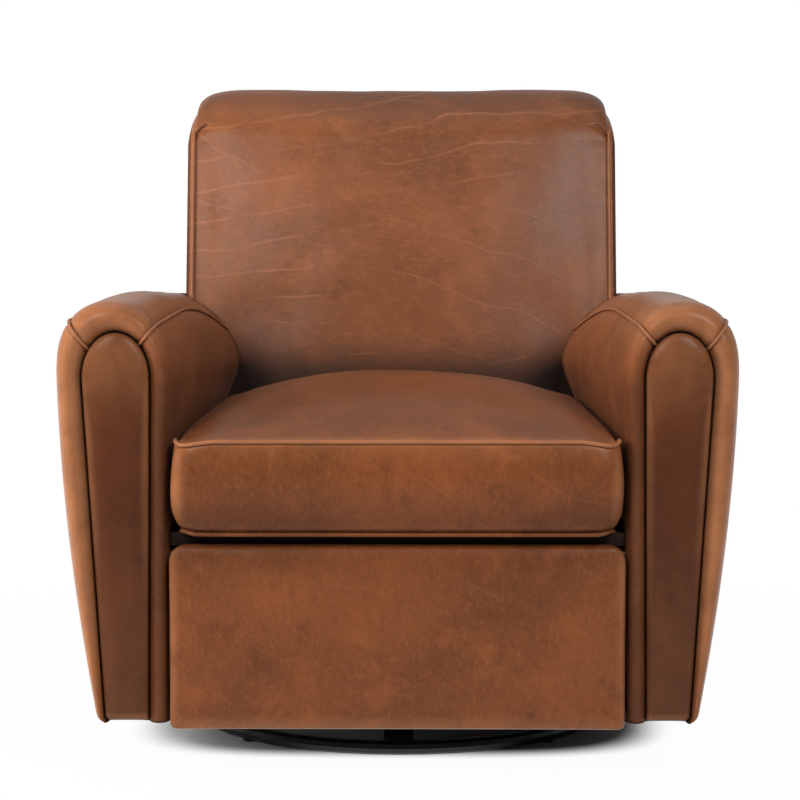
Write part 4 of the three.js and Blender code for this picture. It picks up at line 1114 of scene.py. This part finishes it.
seat_sides = [(out, 0.0) for out in (-0.2, -0.15, -0.1, -0.06, -0.034)]
seat_sides += [(-0.018, 0.002), (-0.009, 0.014), (-0.0035, low_seam_share)]
seat_sides += [(-0.0006, 0.085), (0.0014, 0.14)]
band_heights = (0.22, 0.34, 0.47, 0.6, 0.73, 0.85, 0.94)
seat_sides += [(seat_bulge * sin(pi * up) ** 0.8, up) for up in band_heights]
seat_sides += [(0.0, 1.0)]
seat_tops = [0.008, 0.018, 0.032, 0.055, 0.09, 0.13, 0.18, 0.24, 0.31, 0.38, 0.46, 0.54, 0.62, 0.7]
seat_tops += [0.78, 0.86, 0.94]
half_depth = (seat_rear(seat_low) - seat_front) / 2 - seat_bulge
levels = [seat_ring(*step) for step in seat_sides]
levels += [seat_ring(-share * half_depth, 1.0, 1.0) for share in seat_tops]
cushion = skinned("loose_seat_cushion", levels, seat_leather, hinge=-9)
seams = [seat_ring(0.0, 1.0), seat_ring(-0.0035, low_seam_share)]
seam_near = nearest([p for seam in seams for p in closer(seam + seam[:1], 0.003)])
puffed(cushion, lambda p: float(seam_near(p) < 0.003 or p.z < seat_low + 0.004), 1.6, 0.003)
refined(cushion, 2)


def seat_folds(p):
    """Short puckers that run in from the seams, and soft upright folds in the front band."""
    near = 1 - eased(seam_near(p), 0.004, 0.036)
    pucker = noise.noise(Vector((p.x * 55, p.y * 55, p.z * 7))) * near
    folds = 0.0
    for x, width in ((-0.003, 0.005), (-0.165, 0.006), (0.128, 0.006)):
        folds += exp(-((p.x - x - 0.05 * (p.z - 0.42)) / width) ** 2)
    front_share = eased(p.y, -0.455, -0.461) * eased(p.z, 0.338, 0.355) * eased(p.z, 0.444, 0.425)
    return 0.0006 * pucker - 0.0018 * folds * front_share




def seat_free(p):
    return eased(seam_near(p), 0.004, 0.04) * eased(p.z, 0.328, 0.345)


seat_uneven = uneven(0.0024, 0.11, 18.0, seat_free)
raised(cushion, lambda p: seat_folds(p) + seat_uneven(p))
raised(cushion, lambda p: -0.0013 * eased(seam_near(p), 0.006, 0.001))


# Rubbed beside the seams and at the front corners; the band's paler top is a painted highlight.
def seat_rubbed(p):
    front = eased(p.y, -0.44, -0.462)
    beside_seam = 0.34 * eased(seam_near(p), 0.014, 0.004) * eased(p.z, 0.33, 0.35)
    corner = 0.5 * eased(abs(p.x), 0.266, 0.284) * front
    band_top_highlight = 0.16 * eased(p.z, 0.41, 0.44) * front * (p.z < 0.452)
    return max(beside_seam, corner, band_top_highlight)


# Painted shade in the seams' creases, at the rear against the back, at the sides against the arms, and low
# on the front band.
def seat_soiled(p):
    seam = 0.9 * eased(seam_near(p), 0.0034, 0.0012)
    rear = 0.6 * eased(p.y, 0.01, 0.06)
    side = 0.5 * eased(abs(p.x) - seat_half(p.y), -0.012, -0.002) * eased(p.y, -0.45, -0.4)
    low = 0.3 * eased(p.z, 0.4, 0.335) * eased(p.y, -0.44, -0.462)
    return max(seam, rear, side, low)


painted(cushion, rubbed=seat_rubbed, soiled=seat_soiled)
fitted(cushion, "seat_cushion")

pipings = {"top": (seat_ring(0.0006, 1.0), 0.42, 0.0, welt_leather)}
# The low piping is a little darker.
pipings["low"] = (seat_ring(-0.0042, 0.015), 0.05, 0.18, seat_leather)
for name, (level, worn, darkened, material) in pipings.items():
    route = closer(level + level[:1], 0.005)[:-1]
    fitted(welted(f"cushion_piping_{name}", route, 0.0026, worn, darkened, material, 10, closed=True))


# The studio: a plain white floor that keeps the chair's shadow close round it, a white surround, and
# soft lamps above and in front, with banks at the sides that light the leather without a mirrored
# image in it. Under the chair the floor's colour is darker, a painted shadow. The camera stands at the
# photograph's angle.
def seen_rays(finish, gloss=1.0):
    """1 for what the camera sees, straight or through glass, and `gloss` for what shines in a surface."""
    kinds = ("Camera", "Glossy", "Transmission")
    straight, shine, through = (finish.node("ShaderNodeLightPath", output=f"Is {k} Ray") for k in kinds)
    return straight.math("MAXIMUM", straight, straight.math("MAXIMUM", shine * gloss, through))


bpy.ops.object.select_all(action="DESELECT")
bpy.ops.mesh.primitive_plane_add(size=16.0)
floor = bpy.context.object
floor.name = "studio_floor"
floor_white = Finish("white_floor", Roughness=0.9, Specular_IOR_Level=0.0)
place = floor_white.place()
reach = (place.along((0.8, 0, 0)).size() ** 4 + place.along((0, 1, 0)).size() ** 4) ** 0.25
# Painted shadow: the floor's colour is darker right under the chair.
floor_white.set(Base_Color=floor_white.mixed(reach.eased(0.2, 0.32), (0.34, 0.34, 0.34), (0.8, 0.8, 0.8)))
bright = reach.eased(0.255, 0.315) * 0.97 + reach.eased(0.45, 1.2) * 0.03
glow = floor_white.node("ShaderNodeEmission", None, {"Color": (1, 1, 1), "Strength": 1.0})
lit = Value(floor_white, floor_white.surface.outputs["BSDF"])
share = bright * seen_rays(floor_white)
mix = floor_white.node("ShaderNodeMixShader", None, {0: share, 1: lit, 2: glow})
outlet = next(node for node in floor_white.tree.nodes if node.type == "OUTPUT_MATERIAL")
floor_white.put(outlet.inputs["Surface"], mix)
floor.data.materials.append(floor_white.owner)

surround = Finish(bpy.data.worlds.new("white_surround"))
bpy.context.scene.world = surround.owner
dim = surround.node("ShaderNodeBackground", None, {"Color": (1, 1, 1), "Strength": 0.12})
white = surround.node("ShaderNodeBackground", None, {"Color": (1, 1, 1), "Strength": 1.0})
behind_chair = surround.node("ShaderNodeTexCoord", output="Generated").along((0, 1, 0)).eased(0.05, 0.45)
choice = {0: seen_rays(surround, behind_chair * 0.5), 1: dim, 2: white}
surround.shown(surround.node("ShaderNodeMixShader", None, choice), "ShaderNodeOutputWorld")


def lamp(name, place, aim, width, height, power, glossy=True):
    bpy.ops.object.light_add(type="AREA", location=place)
    light = bpy.context.object
    light.name = name
    light.data.shape = "RECTANGLE"
    light.data.size, light.data.size_y = width, height
    light.data.energy = power
    light.rotation_euler = (Vector(aim) - Vector(place)).to_track_quat("-Z", "Y").to_euler()
    light.visible_glossy = glossy


lamp("left_bank", (-3.0, -0.7, 1.4), (0, 0, 0.45), 1.2, 2.0, 118.0, False)
lamp("right_bank", (3.0, -0.7, 1.4), (0, 0, 0.45), 1.2, 2.0, 4.0, False)
lamp("left_strip", (-1.5, -2.7, 2.4), (0, 0, 0.7), 0.5, 1.8, 50.0)
lamp("right_strip", (1.5, -2.7, 2.4), (0, 0, 0.7), 0.5, 1.8, 60.0)
lamp("overhead", (0, 0.2, 3.1), (0, 0, 0.4), 2.4, 1.4, 12.0)

bpy.ops.object.camera_add(location=(0.031, -3.54, 0.8))
camera = bpy.context.object
camera.name = "studio_camera"
camera.data.sensor_width, camera.data.lens = 36.0, 110.25
camera_turn, camera_dip = 0.00886, radians(5.58)
camera.rotation_euler = (pi / 2 - camera_dip, 0, camera_turn)
bpy.context.scene.camera = camera
bpy.context.scene.view_settings.view_transform = "Standard"
